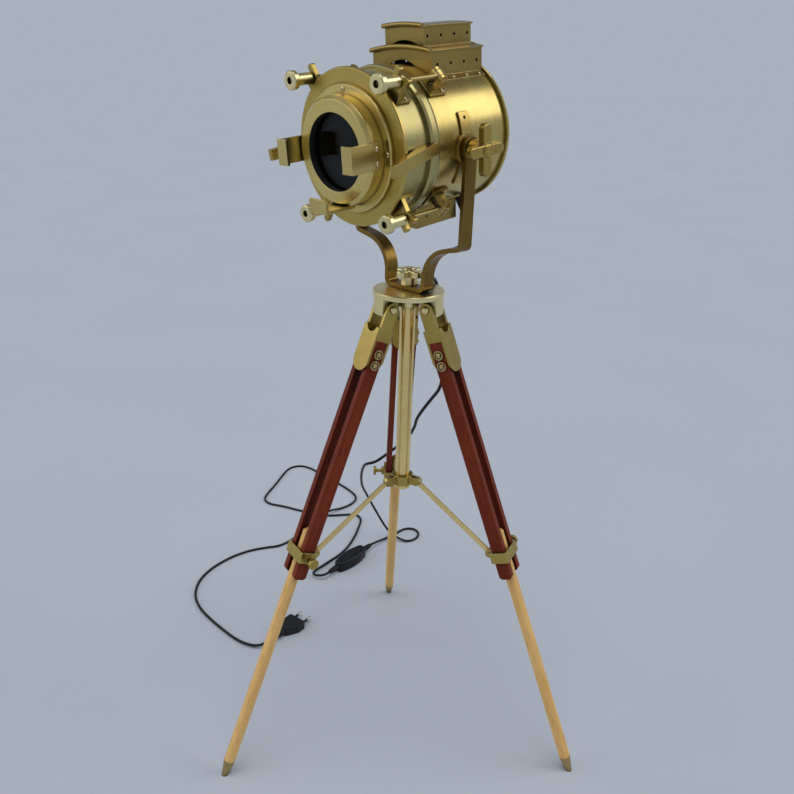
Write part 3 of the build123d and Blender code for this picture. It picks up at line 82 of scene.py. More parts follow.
class ShaderGraph:
    """Node tree of one finish, with short calls to add and join its nodes."""

    recess_samples: int = 6
    bevel_samples: int = 4
    edge_span: Span = (0.999, 0.86)

    def __init__(self, name: str) -> None:
        """Starts a material with one main shader.

        Args:
            name: Name of the material.
        """
        self.material = bpy.data.materials.new(name)
        self.material.use_nodes = True
        self.tree = self.material.node_tree
        self.tree.nodes.clear()
        output = self.tree.nodes.new("ShaderNodeOutputMaterial")
        self.shader = self.tree.nodes.new("ShaderNodeBsdfPrincipled")
        self.tree.links.new(self.shader.outputs[0], output.inputs[0])

    def join(self, socket: Socket, value: Any) -> None:
        """Links a socket to the value, or sets it.

        Args:
            socket: Input socket.
            value: Output socket of another node, a number, a vector or a colour.
        """
        if isinstance(value, bpy.types.NodeSocket):
            self.tree.links.new(value, socket)
        elif socket.type == "RGBA" and len(value) == 3:
            socket.default_value = (*value, 1.0)
        else:
            socket.default_value = value

    def add(self, kind: str, sockets: dict[Any, Any], **settings: Any) -> bpy.types.Node:
        """Adds a node.

        Args:
            kind: Blender's name of the node type.
            sockets: Values for its inputs, by name or number.
            settings: Values for its own settings.

        Returns:
            The node.
        """
        node = self.tree.nodes.new(kind)
        for key, value in settings.items():
            setattr(node, key, value)
        for key, value in sockets.items():
            self.join(node.inputs[key], value)
        return node

    def dress(self, **sockets: Any) -> None:
        """Sets the main shader's sockets, with _ for a blank in their names.

        Args:
            sockets: Values by socket name.
        """
        for key, value in sockets.items():
            self.join(self.shader.inputs[key.replace("_", " ")], value)

    def place(self, origin: Point = (0, 0, 0), turn: Point = (0, 0, 0), scale: Point = (1, 1, 1)) -> Socket:
        """Surface points in a piece's own frame.

        Args:
            origin: The frame's origin, in metres.
            turn: The frame's turn about X, Y and Z, in radians.
            scale: Stretch along the frame's axes.

        Returns:
            The vector socket.
        """
        spot = self.add("ShaderNodeTexCoord", {}).outputs["Object"]
        node = self.add("ShaderNodeMapping", {"Vector": spot, "Location": origin, "Rotation": turn},
                        vector_type="TEXTURE")
        stretch = self.add("ShaderNodeVectorMath", {0: node.outputs[0], 1: scale}, operation="MULTIPLY")
        return stretch.outputs[0]

    def noise(self, vector: Socket, scale: float, detail: float = 3.0, rough: float = 0.55) -> Socket:
        """Cloudy value between 0 and 1.

        Args:
            vector: Where to look it up.
            scale: Clouds per metre.
            detail: Number of finer layers.
            rough: Weight of the finer layers.

        Returns:
            The value socket.
        """
        node = self.add("ShaderNodeTexNoise", {"Vector": vector, "Scale": scale, "Detail": detail,
                                               "Roughness": rough})
        return node.outputs[0]

    def fit(self, value: Socket, low: float, high: float, start: float = 0.0, end: float = 1.0) -> Socket:
        """Maps low to start and high to end, held at both.

        Args:
            value: The value.
            low: Its low end.
            high: Its high end.
            start: Result at the low end.
            end: Result at the high end.

        Returns:
            The value socket.
        """
        node = self.add("ShaderNodeMapRange", {0: value, 1: low, 2: high, 3: start, 4: end})
        return node.outputs[0]

    def sums(self, operation: str, first: Any, second: Any = 0.0) -> Socket:
        """One step of arithmetic on two values."""
        return self.add("ShaderNodeMath", {0: first, 1: second}, operation=operation).outputs[0]

    def mix(self, share: Any, first: Any, second: Any) -> Socket:
        """Colour between the first, at a share of 0, and the second, at 1."""
        return self.add("ShaderNodeMix", {0: share, 6: first, 7: second}, data_type="RGBA").outputs[2]

    def recess(self, reach: float) -> Socket:
        """1 in the open and 0 deep in a corner, felt over that reach in metres; the finishes paint shade into
        corners with it.
        """
        return self.add("ShaderNodeAmbientOcclusion", {"Distance": reach},
                        samples=self.recess_samples).outputs["AO"]

    def rounded(self, radius: float) -> Socket:
        """Surface direction with edges rounded to that radius in metres."""
        return self.add("ShaderNodeBevel", {"Radius": radius}, samples=self.bevel_samples).outputs[0]

    def edge(self, rounded: Socket) -> Socket:
        """0 on open faces, rising along edges.

        Args:
            rounded: The rounded surface direction.

        Returns:
            The value socket.
        """
        flat = self.add("ShaderNodeNewGeometry", {}).outputs["Normal"]
        same = self.add("ShaderNodeVectorMath", {0: rounded, 1: flat}, operation="DOT_PRODUCT")
        return self.fit(same.outputs["Value"], *self.edge_span)

    def bump(self, height: Socket, depth: float, strength: float, normal: Socket | None = None) -> Socket:
        """Surface direction with a relief.

        Args:
            height: Height between 0 and 1.
            depth: Height of 1 in metres.
            strength: Share of the relief to show.
            normal: Direction to start from.

        Returns:
            The vector socket.
        """
        sockets: dict[Any, Any] = {"Height": height, "Distance": depth, "Strength": strength}
        if normal is not None:
            sockets["Normal"] = normal
        return self.add("ShaderNodeBump", sockets).outputs[0]


class Finish:
    """Base of all finishes: makes its material once."""

    made: dict["Finish", bpy.types.Material] = {}

    def build(self) -> bpy.types.Material:
        """Makes the material."""
        raise NotImplementedError

    def material(self) -> bpy.types.Material:
        """The finish's material, made at the first call."""
        if self not in Finish.made:
            Finish.made[self] = self.build()
        return Finish.made[self]


@dataclass(frozen=True)
class Brass(Finish):
    """Old brass with brown stains, bright worn edges, and dark patina deepened into painted shade in its
    corners.
    """

    name: str
    body: Colour
    stain: Colour = (0.23, 0.14, 0.036)
    # Near-black for corners and gaps: partly patina in the hollows, partly painted shade.
    grime_and_painted_shade: Colour = (0.035, 0.020, 0.007)
    worn: Colour = (0.78, 0.66, 0.36)
    roughness: float = 0.27
    grain: Grain = Grain.CAST
    origin: Point = (0.0, 0.0, 0.0)
    turn: Point = (0.0, 0.0, 0.0)
    tarnish: float = 0.5
    edge_radius: float = 0.0006
    edge_share: float = 0.5
    # Reach, span and share of the painted corner shade over the patina.
    corner_reach: float = 0.012
    corner_span: Span = (0.15, 0.85)
    corner_share: float = 0.95
    cloud_scale: float = 21.0
    cloud_span: Span = (0.40, 0.72)
    drip_scale: float = 70.0
    drip_span: Span = (0.55, 0.85)
    drip_share: float = 0.3
    line_scale: float = 2600.0
    line_depth: float = 0.00003
    line_stretch: Point = (1.0, 1.0, 0.015)
    ring_sway: Point = (0.012, 0.012, 0.012)
    thread_scale: float = 420.0
    thread_depth: float = 0.0003
    skin_scale: float = 1700.0
    skin_depth: float = 0.000012
    relief: float = 0.2
    ridge_span: Span = (0.35, 0.75)
    ridge_share: float = 0.14
    gloss_span: Span = (0.3, 0.7)
    gloss_range: Span = (-0.05, 0.07)
    dulling: float = 0.16

    def grain_height(self, graph: ShaderGraph, spot: Socket) -> tuple[Socket, float]:
        """Relief of the surface's working.

        Args:
            graph: The node tree.
            spot: Points in the piece's own frame.

        Returns:
            The height socket and its depth in metres.
        """
        split = graph.add("ShaderNodeSeparateXYZ", {0: spot})
        x, y, z = split.outputs
        if self.grain is Grain.LATHE:
            across = graph.add("ShaderNodeCombineXYZ", {0: x, 2: z}).outputs[0]
            reach = graph.add("ShaderNodeVectorMath", {0: across}, operation="LENGTH").outputs["Value"]
            rings = graph.add("ShaderNodeCombineXYZ", {0: reach, 1: y})
            sway = graph.add("ShaderNodeVectorMath", {0: spot, 1: self.ring_sway}, operation="MULTIPLY")
            both = graph.add("ShaderNodeVectorMath", {0: rings.outputs[0], 1: sway.outputs[0]})
            return graph.noise(both.outputs[0], self.line_scale, detail=2.0, rough=0.6), self.line_depth
        if self.grain is Grain.DRAWN:
            drawn = graph.add("ShaderNodeVectorMath", {0: spot, 1: self.line_stretch}, operation="MULTIPLY")
            return graph.noise(drawn.outputs[0], self.line_scale, detail=2.0, rough=0.6), self.line_depth
        if self.grain is Grain.THREAD:
            wave = graph.add("ShaderNodeTexWave", {"Vector": spot, "Scale": self.thread_scale},
                             bands_direction="Y")
            return wave.outputs["Fac"], self.thread_depth
        return graph.noise(spot, self.skin_scale, detail=2.0, rough=0.5), self.skin_depth

    def build(self) -> bpy.types.Material:
        """Makes the material.

        Returns:
            The brass material.
        """
        graph = ShaderGraph(self.name)
        spot = graph.place(self.origin, self.turn)
        clouds = graph.noise(spot, self.cloud_scale, detail=4.0, rough=0.55)
        drips = graph.noise(spot, self.drip_scale, detail=3.0, rough=0.5)
        height, depth = self.grain_height(graph, spot)
        rounded = graph.rounded(self.edge_radius)
        old = graph.fit(clouds, *self.cloud_span, 0.0, self.tarnish)
        spotty = graph.fit(drips, *self.drip_span, 0.0, self.drip_share * self.tarnish)
        share = graph.sums("MAXIMUM", old, spotty)
        colour = graph.mix(share, self.body, self.stain)
        colour = graph.mix(graph.fit(height, *self.ridge_span, 0.0, self.ridge_share), colour, self.worn)
        # Painted shade: ambient occlusion darkens corners and gaps towards the near-black colour, over the
        # real patina in the hollows.
        corner = graph.fit(graph.recess(self.corner_reach), *self.corner_span, self.corner_share, 0.0)
        colour = graph.mix(corner, colour, self.grime_and_painted_shade)
        colour = graph.mix(graph.sums("MULTIPLY", graph.edge(rounded), self.edge_share), colour, self.worn)
        rough = graph.fit(height, *self.gloss_span, *(self.roughness + step for step in self.gloss_range))
        dull = graph.sums("MULTIPLY", graph.sums("MAXIMUM", share, corner), self.dulling)
        normal = graph.bump(height, depth, self.relief, rounded)
        graph.dress(Base_Color=colour, Metallic=1.0, Roughness=graph.sums("ADD", rough, dull), Normal=normal)
        return graph.material


@dataclass(frozen=True)
class Wood(Finish):
    """Varnished wood with its grain along one direction, and painted shade in its corners."""

    name: str
    pale: Colour
    dark: Colour
    pore: Colour
    turn: Point
    varnish: float = 0.05
    varnish_roughness: float = 0.25
    shine: float = 0.12
    roughness: float = 0.42
    gloss_span: Span = (0.3, 0.7)
    gloss_range: Span = (-0.06, 0.1)
    grain_stretch: Point = (1.0, 1.0, 0.05)
    figure: float = 90.0
    figure_span: Span = (0.3, 0.7)
    figure_share: float = 0.75
    wander_stretch: Point = (1.0, 1.0, 0.35)
    wander_scale: float = 30.0
    wander_span: Span = (0.35, 0.7)
    wander_range: Span = (-0.1, 0.3)
    fibre_scale: float = 1500.0
    fibre_span: Span = (0.35, 0.7)
    fibre_share: float = 0.3
    pore_scale: float = 700.0
    pore_span: Span = (0.60, 0.72)
    pore_share: float = 0.55
    pore_depth: float = 0.00025
    relief: float = 0.3
    edge_radius: float = 0.0012
    # Reach, span and share of the painted shade in the corners.
    corner_reach: float = 0.03
    corner_span: Span = (0.3, 0.9)
    corner_share: float = 0.9

    def build(self) -> bpy.types.Material:
        """Makes the material.

        Returns:
            The wood material.
        """
        graph = ShaderGraph(self.name)
        along = graph.place(turn=self.turn, scale=self.grain_stretch)
        wander = graph.noise(graph.place(turn=self.turn, scale=self.wander_stretch), self.wander_scale)
        rings = graph.noise(along, self.figure, detail=5.0, rough=0.62)
        fibres = graph.noise(along, self.fibre_scale, detail=3.0, rough=0.7)
        pores = graph.fit(graph.noise(along, self.pore_scale, detail=2.0, rough=0.5), *self.pore_span)
        rounded = graph.rounded(self.edge_radius)
        shade = graph.sums("ADD", graph.fit(rings, *self.figure_span, 0.0, self.figure_share),
                           graph.fit(wander, *self.wander_span, *self.wander_range))
        colour = graph.mix(shade, self.dark, self.pale)
        colour = graph.mix(graph.fit(fibres, *self.fibre_span, 0.0, self.fibre_share), colour, self.pore)
        colour = graph.mix(graph.sums("MULTIPLY", pores, self.pore_share), colour, self.pore)
        # Painted shade: ambient occlusion darkens corners and the gaps between the rails towards the pore
        # colour.
        corner = graph.fit(graph.recess(self.corner_reach), *self.corner_span, self.corner_share, 0.0)
        colour = graph.mix(corner, colour, self.pore)
        rough = graph.fit(fibres, *self.gloss_span, *(self.roughness + step for step in self.gloss_range))
        normal = graph.bump(graph.sums("SUBTRACT", fibres, pores), self.pore_depth, self.relief, rounded)
        graph.dress(Base_Color=colour, Roughness=rough, Normal=normal, Coat_Weight=self.varnish,
                    Coat_Roughness=self.varnish_roughness, Specular_IOR_Level=self.shine)
        return graph.material


@dataclass(frozen=True)
class Moulded(Finish):
    """Moulded black plastic or rubber with a spark-eroded skin, and a joint line at the seam's height."""

    name: str
    body: Colour = (0.012, 0.012, 0.014)
    scuffed: Colour = (0.035, 0.035, 0.038)
    roughness: float = 0.42
    dulling: float = 0.18
    shine: float = 0.28
    skin_scale: float = 2600.0
    skin_depth: float = 0.00012
    relief: float = 0.3
    scuff_scale: float = 120.0
    scuff_span: Span = (0.5, 0.75)
    scuff_share: float = 0.6
    edge_radius: float = 0.0008
    seam: float | None = None
    seam_colour: Colour = (0.002, 0.002, 0.002)
    seam_span: Span = (0.0002, 0.0006)
    seam_height: float = 3.0
    seam_skin_share: float = 0.15

    def build(self) -> bpy.types.Material:
        """Makes the material.

        Returns:
            The plastic material.
        """
        graph = ShaderGraph(self.name)
        spot = graph.place()
        height = graph.noise(spot, self.skin_scale, detail=2.0, rough=0.5)
        scuffs = graph.fit(graph.noise(spot, self.scuff_scale, detail=5.0, rough=0.65), *self.scuff_span)
        rounded = graph.rounded(self.edge_radius)
        worn = graph.sums("MAXIMUM", graph.sums("MULTIPLY", scuffs, self.scuff_share), graph.edge(rounded))
        colour = graph.mix(worn, self.body, self.scuffed)
        if self.seam is not None:
            level = graph.add("ShaderNodeSeparateXYZ", {0: spot}).outputs[2]
            gap = graph.sums("ABSOLUTE", graph.sums("SUBTRACT", level, self.seam))
            line = graph.fit(gap, *self.seam_span)
            height = graph.sums("ADD", graph.sums("MULTIPLY", height, self.seam_skin_share),
                                graph.sums("MULTIPLY", line, self.seam_height))
            colour = graph.mix(line, self.seam_colour, colour)
        rough = graph.fit(scuffs, 0.0, 1.0, self.roughness, self.roughness + self.dulling)
        graph.dress(Base_Color=colour, Roughness=rough, Specular_IOR_Level=self.shine,
                    Normal=graph.bump(height, self.skin_depth, self.relief, rounded))
        return graph.material


@dataclass(frozen=True)
class Steel(Finish):
    """Nickel-plated steel with fine scratches."""

    name: str
    body: Colour = (0.62, 0.60, 0.56)
    dull_share: float = 0.62
    roughness: float = 0.22
    dulling: float = 0.15
    scratch_scale: float = 900.0
    scratch_span: Span = (0.35, 0.75)
    scratch_depth: float = 0.00006
    relief: float = 0.3
    edge_radius: float = 0.0003

    def build(self) -> bpy.types.Material:
        """Makes the material.

        Returns:
            The steel material.
        """
        graph = ShaderGraph(self.name)
        scratches = graph.noise(graph.place(), self.scratch_scale, detail=4.0, rough=0.7)
        dull = graph.fit(scratches, *self.scratch_span)
        colour = graph.mix(dull, self.body, tuple(self.dull_share * part for part in self.body))
        rough = graph.fit(dull, 0.0, 1.0, self.roughness, self.roughness + self.dulling)
        normal = graph.bump(scratches, self.scratch_depth, self.relief, graph.rounded(self.edge_radius))
        graph.dress(Base_Color=colour, Metallic=1.0, Roughness=rough, Normal=normal)
        return graph.material


@dataclass(frozen=True)
class Glass(Finish):
    """Clear glass with faint dust."""

    name: str
    tint: Colour
    index: float
    shine: float = 0.0
    shine_roughness: float = 0.03
    dust: float = 0.05
    dust_scale: float = 160.0
    dust_span: Span = (0.45, 0.8)

    def build(self) -> bpy.types.Material:
        """Makes the material.

        Returns:
            The glass material.
        """
        graph = ShaderGraph(self.name)
        specks = graph.noise(graph.place(), self.dust_scale, detail=5.0, rough=0.7)
        graph.dress(Base_Color=self.tint, Roughness=graph.fit(specks, *self.dust_span, 0.0, self.dust),
                    Transmission_Weight=1.0, IOR=self.index, Coat_Weight=self.shine,
                    Coat_Roughness=self.shine_roughness)
        return graph.material


@dataclass(frozen=True)
class BlackPaintAndShade(Finish):
    """Matt black paint of the lamp holder and the lens retainer, also laid inside the drum, bore and chimney
    as painted shade.
    """

    name: str
    body: Colour = (0.006, 0.006, 0.006)
    ash: Colour = (0.03, 0.028, 0.026)
    ash_span: Span = (0.5, 0.8)
    gloss_span: Span = (0.3, 0.7)
    gloss_range: Span = (0.5, 0.8)
    flake_scale: float = 180.0
    flake_depth: float = 0.0002
    relief: float = 0.3

    def build(self) -> bpy.types.Material:
        """Makes the material.

        Returns:
            The paint material.
        """
        graph = ShaderGraph(self.name)
        flakes = graph.noise(graph.place(), self.flake_scale, detail=5.0, rough=0.65)
        graph.dress(Base_Color=graph.mix(graph.fit(flakes, *self.ash_span), self.body, self.ash),
                    Roughness=graph.fit(flakes, *self.gloss_span, *self.gloss_range),
                    Normal=graph.bump(flakes, self.flake_depth, self.relief))
        return graph.material


@dataclass(frozen=True)
class Paper(Finish):
    """Plain pale matt floor."""

    name: str
    body: Colour = (0.51, 0.555, 0.62)
    shade_share: float = 0.97
    cloud_scale: float = 2.2
    cloud_span: Span = (0.3, 0.7)
    roughness: float = 0.9

    def build(self) -> bpy.types.Material:
        """Makes the material.

        Returns:
            The floor material.
        """
        graph = ShaderGraph(self.name)
        clouds = graph.noise(graph.place(), self.cloud_scale, detail=2.0, rough=0.4)
        shade = tuple(self.shade_share * part for part in self.body)
        graph.dress(Base_Color=graph.mix(graph.fit(clouds, *self.cloud_span), shade, self.body),
                    Roughness=self.roughness, Specular_IOR_Level=0.0)
        return graph.material


SATIN = Brass("brass_satin", body=(0.50, 0.355, 0.09), origin=LAMP_CENTRE, turn=LAMP_TURN, tarnish=0.35)
TURNED = Brass("brass_turned", body=(0.52, 0.38, 0.09), stain=(0.33, 0.21, 0.05), grain=Grain.LATHE,
               origin=LAMP_CENTRE, turn=LAMP_TURN, tarnish=0.4, corner_reach=0.004)
RING = Brass("brass_ring", body=(0.70, 0.55, 0.19), stain=(0.45, 0.31, 0.09), grain=Grain.LATHE,
             origin=LAMP_CENTRE, turn=LAMP_TURN, tarnish=0.35, corner_reach=0.004)
CLIP = Brass("brass_clip", body=(0.66, 0.51, 0.19), stain=(0.38, 0.26, 0.07), origin=LAMP_CENTRE,
             turn=LAMP_TURN, tarnish=0.35)
BARREL = Brass("brass_barrel", body=(0.42, 0.36, 0.145), stain=(0.29, 0.21, 0.075), worn=(0.80, 0.74, 0.46),
               grain=Grain.LATHE, origin=LAMP_CENTRE, turn=LAMP_TURN, tarnish=0.4, roughness=0.29,
               corner_reach=0.004)
DRUM = Brass("brass_drum", body=(0.54, 0.42, 0.135), stain=(0.32, 0.21, 0.055), grain=Grain.LATHE,
             origin=LAMP_CENTRE, turn=LAMP_TURN, tarnish=0.4, roughness=0.24, corner_reach=0.005)
SHEET = Brass("brass_sheet", body=(0.33, 0.225, 0.058), stain=(0.18, 0.11, 0.027), origin=LAMP_CENTRE,
              turn=LAMP_TURN, tarnish=0.4)
# Dark brown body: tarnished brass, darkened further as painted shade where the yoke sits in shadow.
BAR = Brass("brass_bar", body=(0.215, 0.125, 0.024), stain=(0.11, 0.056, 0.010), worn=(0.50, 0.37, 0.15),
            grain=Grain.DRAWN, tarnish=0.6, roughness=0.3)
PLATE = Brass("brass_plate", body=(0.94, 0.80, 0.42), stain=(0.50, 0.36, 0.12), grain=Grain.LATHE,
              turn=UPRIGHT_TURN, tarnish=0.35)
CASTING = Brass("brass_casting", body=(0.48, 0.345, 0.08), stain=(0.22, 0.13, 0.028), tarnish=0.5,
                edge_radius=0.0009, corner_reach=0.02)
KNOB = Brass("brass_knob", body=(0.45, 0.315, 0.07), tarnish=0.5, edge_radius=0.0011)
PALE = Brass("brass_pale", body=(0.80, 0.69, 0.36), stain=(0.52, 0.39, 0.15), worn=(0.86, 0.79, 0.52),
             grain=Grain.LATHE, origin=LAMP_CENTRE, turn=LAMP_TURN, tarnish=0.35, edge_radius=0.0008)
SCREW = Brass("brass_screw", body=(0.80, 0.66, 0.38), stain=(0.50, 0.36, 0.16), worn=(0.92, 0.85, 0.62),
              tarnish=0.25, roughness=0.2, corner_reach=0.0012, edge_radius=0.0003)
BOLT = Brass("brass_bolt", body=(0.62, 0.46, 0.20), stain=(0.36, 0.22, 0.08), tarnish=0.4, roughness=0.22,
             corner_reach=0.003, edge_radius=0.0003)
THREADED = Brass("brass_thread", body=(0.50, 0.39, 0.14), grain=Grain.THREAD, origin=LAMP_CENTRE,
                 turn=LAMP_TURN)
TUBE = Brass("brass_tube", body=(0.94, 0.70, 0.28), stain=(0.48, 0.32, 0.10), grain=Grain.DRAWN, tarnish=0.32,
             roughness=0.22)
TIP = Brass("brass_tip", body=(0.50, 0.36, 0.15), stain=(0.30, 0.20, 0.075), worn=(0.62, 0.48, 0.24),
            tarnish=0.5, roughness=0.42)
PLASTIC = Moulded("black_plastic")
SWITCH_SHELL = Moulded("black_switch", body=(0.0065, 0.007, 0.0115), scuffed=(0.014, 0.015, 0.021),
                       roughness=0.34, seam=0.0095)
RUBBER = Moulded("black_flex", body=(0.010, 0.010, 0.011), roughness=0.5, skin_scale=1500.0)
NICKEL = Steel("nickel_steel")
LENS = Glass("clear_glass", tint=(0.80, 0.86, 0.86), index=1.22)
ENVELOPE = Glass("bulb_glass", tint=(0.97, 0.97, 0.96), index=1.03, shine=0.6, dust=0.02)
# Matt black, for real black parts and for painted shade inside the lamp.
BLACK_PAINT_AND_SHADE = BlackPaintAndShade("black_paint_and_shade")


def leg_grain(number: int) -> Point:
    """Turn that carries Z onto a leg's own direction.

    Args:
        number: The leg's number, from 1.

    Returns:
        Turns about X, Y and Z, in radians.
    """
    return (0.0, radians(-LEG_SPREAD), radians(LEG_TURNS[number - 1]))


def rail_wood(number: int) -> Wood:
    """Dark red hardwood of a leg's rails, by the leg's number."""
    return Wood(f"rail_wood_{number}", pale=(0.300, 0.045, 0.011), dark=(0.135, 0.018, 0.004),
                pore=(0.014, 0.003, 0.002), turn=leg_grain(number))


def rod_wood(number: int) -> Wood:
    """Pale golden wood of a lower leg, by the leg's number."""
    return Wood(f"rod_wood_{number}", pale=(0.98, 0.63, 0.24), dark=(0.80, 0.46, 0.150),
                pore=(0.36, 0.19, 0.06), turn=leg_grain(number), varnish=0.08, figure=160.0)


class Maker:
    """Mesh shapes that several sub-assemblies share."""

    @staticmethod
    def keep(name: str, mesh: bmesh.types.BMesh, finish: Finish, slot: str, body: str) -> bpy.types.Object:
        """Turns a finished mesh into a piece on a body.

        Args:
            name: The piece's name.
            mesh: Its mesh in the row frame, freed here.
            finish: Its finish.
            slot: The record's material slot, not used here.
            body: The body that carries it.

        Returns:
            The piece.
        """
        data = bpy.data.meshes.new(name)
        bmesh.ops.recalc_face_normals(mesh, faces=mesh.faces)
        for face in mesh.faces:
            face.smooth = True
        mesh.to_mesh(data)
        mesh.free()
        data.set_sharp_from_angle(angle=radians(SHARP_ANGLE))
        data.materials.append(finish.material())
        piece = bpy.data.objects.new(name, data)
        bpy.context.scene.collection.objects.link(piece)
        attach(piece, body)
        log.info("piece %s on %s", name, body)
        return piece

    @staticmethod
    def lathe(mesh: bmesh.types.BMesh, profile: Profile, place: Matrix, steps: int) -> None:
        """Adds a closed ring turned about the placement's X axis.

        Args:
            mesh: Mesh that gets the ring.
            profile: Closed outline as (x, radius) points.
            place: Where the ring goes.
            steps: Number of steps round it.
        """
        rows = []
        for step in range(steps):
            turn = 2 * pi * step / steps
            rows.append([mesh.verts.new(place @ Vector((x, radius * cos(turn), radius * sin(turn))))
                         for x, radius in profile])
        count = len(profile)
        for step in range(steps):
            near, far = rows[step], rows[(step + 1) % steps]
            for i in range(count):
                j = (i + 1) % count
                mesh.faces.new((near[i], near[j], far[j], far[i]))

    @staticmethod
    def bead(x: float, radius: float, thick: float, steps: int = 10) -> Profile:
        """Round outline of a ring.

        Args:
            x: Its place along the axis.
            radius: Radius of its middle.
            thick: Half its thickness.
            steps: Points round the outline.

        Returns:
            The closed outline.
        """
        turns = [2 * pi * step / steps for step in range(steps)]
        return [(x + thick * cos(turn), radius + thick * sin(turn)) for turn in turns]


class Assembly:
    """Base of the sub-assemblies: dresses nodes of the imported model."""

    def dress(self, finish: Finish, *nodes: str) -> None:
        """Gives nodes a finish.

        Args:
            finish: The finish.
            nodes: Names of the nodes.
        """
        for name in nodes:
            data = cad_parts[name].data
            data.materials.clear()
            data.materials.append(finish.material())
            log.info("node %s in %s", name, finish.material().name)

    def repaint(self, finish: Finish, name: str, picked: Callable[[Vector, Vector], bool]) -> None:
        """Gives some faces of a node a second finish.

        Args:
            finish: The second finish.
            name: Name of the node.
            picked: Test on a face's middle and direction, in the row frame.
        """
        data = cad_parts[name].data
        data.materials.append(finish.material())
        for face in data.polygons:
            if picked(face.center, face.normal):
                face.material_index = 1
        log.info("node %s partly in %s", name, finish.material().name)


@dataclass
class Studio:
    """Camera, soft lamps, pale floor and the room round them."""

    eye: Point = (0.5703, -0.6062, 0.7783)
    turn: Point = (67.841, -1.593, 44.519)
    lens: float = 35.81
    near: float = 0.02
    floor_radius: float = 60.0
    floor_steps: int = 96
    haze: Colour = (0.397, 0.441, 0.510)
    ceiling: Colour = (0.13, 0.14, 0.16)
    haze_rise: Span = (0.10, 0.75)
    # Each lamp's name, the side that it shines from, its width and its power.
    lamps: tuple[tuple[str, Point, float, float], ...] = (
        ("top", (0.15, -0.15, 1.0), 45.0, 1.25),
        ("side", (0.75, 0.80, 0.75), 36.0, 0.68),
        ("front", (-0.75, -0.80, 0.40), 60.0, 0.80),
    )

    def camera(self) -> None:
        """Sets the camera where the photograph was taken."""
        data = bpy.data.cameras.new("camera")
        data.lens = self.lens
        data.clip_start = self.near
        eye = bpy.data.objects.new("camera", data)
        eye.location = self.eye
        eye.rotation_euler = [radians(angle) for angle in self.turn]
        bpy.context.scene.collection.objects.link(eye)
        bpy.context.scene.camera = eye

    def light(self) -> None:
        """Hangs the soft lamps."""
        for name, place, width, power in self.lamps:
            data = bpy.data.lights.new(name, "SUN")
            data.angle = radians(width)
            data.energy = power
            lamp = bpy.data.objects.new(name, data)
            lamp.location = place
            lamp.rotation_euler = (-Vector(place)).to_track_quat("-Z", "Y").to_euler()
            bpy.context.scene.collection.objects.link(lamp)

    def room(self) -> None:
        """Makes the room, which darkens from the floor's haze to the ceiling."""
        world = bpy.data.worlds.new("room")
        world.use_nodes = True
        bpy.context.scene.world = world
        tree = world.node_tree
        way = tree.nodes.new("ShaderNodeTexCoord")
        split = tree.nodes.new("ShaderNodeSeparateXYZ")
        rise = tree.nodes.new("ShaderNodeMapRange")
        rise.inputs[1].default_value, rise.inputs[2].default_value = self.haze_rise
        shade = tree.nodes.new("ShaderNodeMix")
        shade.data_type = "RGBA"
        shade.inputs[6].default_value = (*self.haze, 1.0)
        shade.inputs[7].default_value = (*self.ceiling, 1.0)
        tree.links.new(way.outputs["Generated"], split.inputs[0])
        tree.links.new(split.outputs[2], rise.inputs[0])
        tree.links.new(rise.outputs[0], shade.inputs[0])
        tree.links.new(shade.outputs[2], tree.nodes["Background"].inputs["Color"])

    def floor(self) -> None:
        """Lays the round floor."""
        mesh = bmesh.new()
        bmesh.ops.create_circle(mesh, cap_ends=True, segments=self.floor_steps, radius=self.floor_radius)
        data = bpy.data.meshes.new("floor")
        mesh.to_mesh(data)
        mesh.free()
        data.materials.append(Paper("pale_floor").material())
        floor = bpy.data.objects.new("floor", data)
        bpy.context.scene.collection.objects.link(floor)

    def build(self) -> None:
        """Builds the studio."""
        bpy.context.scene.view_settings.view_transform = "Standard"
        self.camera()
        self.light()
        self.room()
        self.floor()


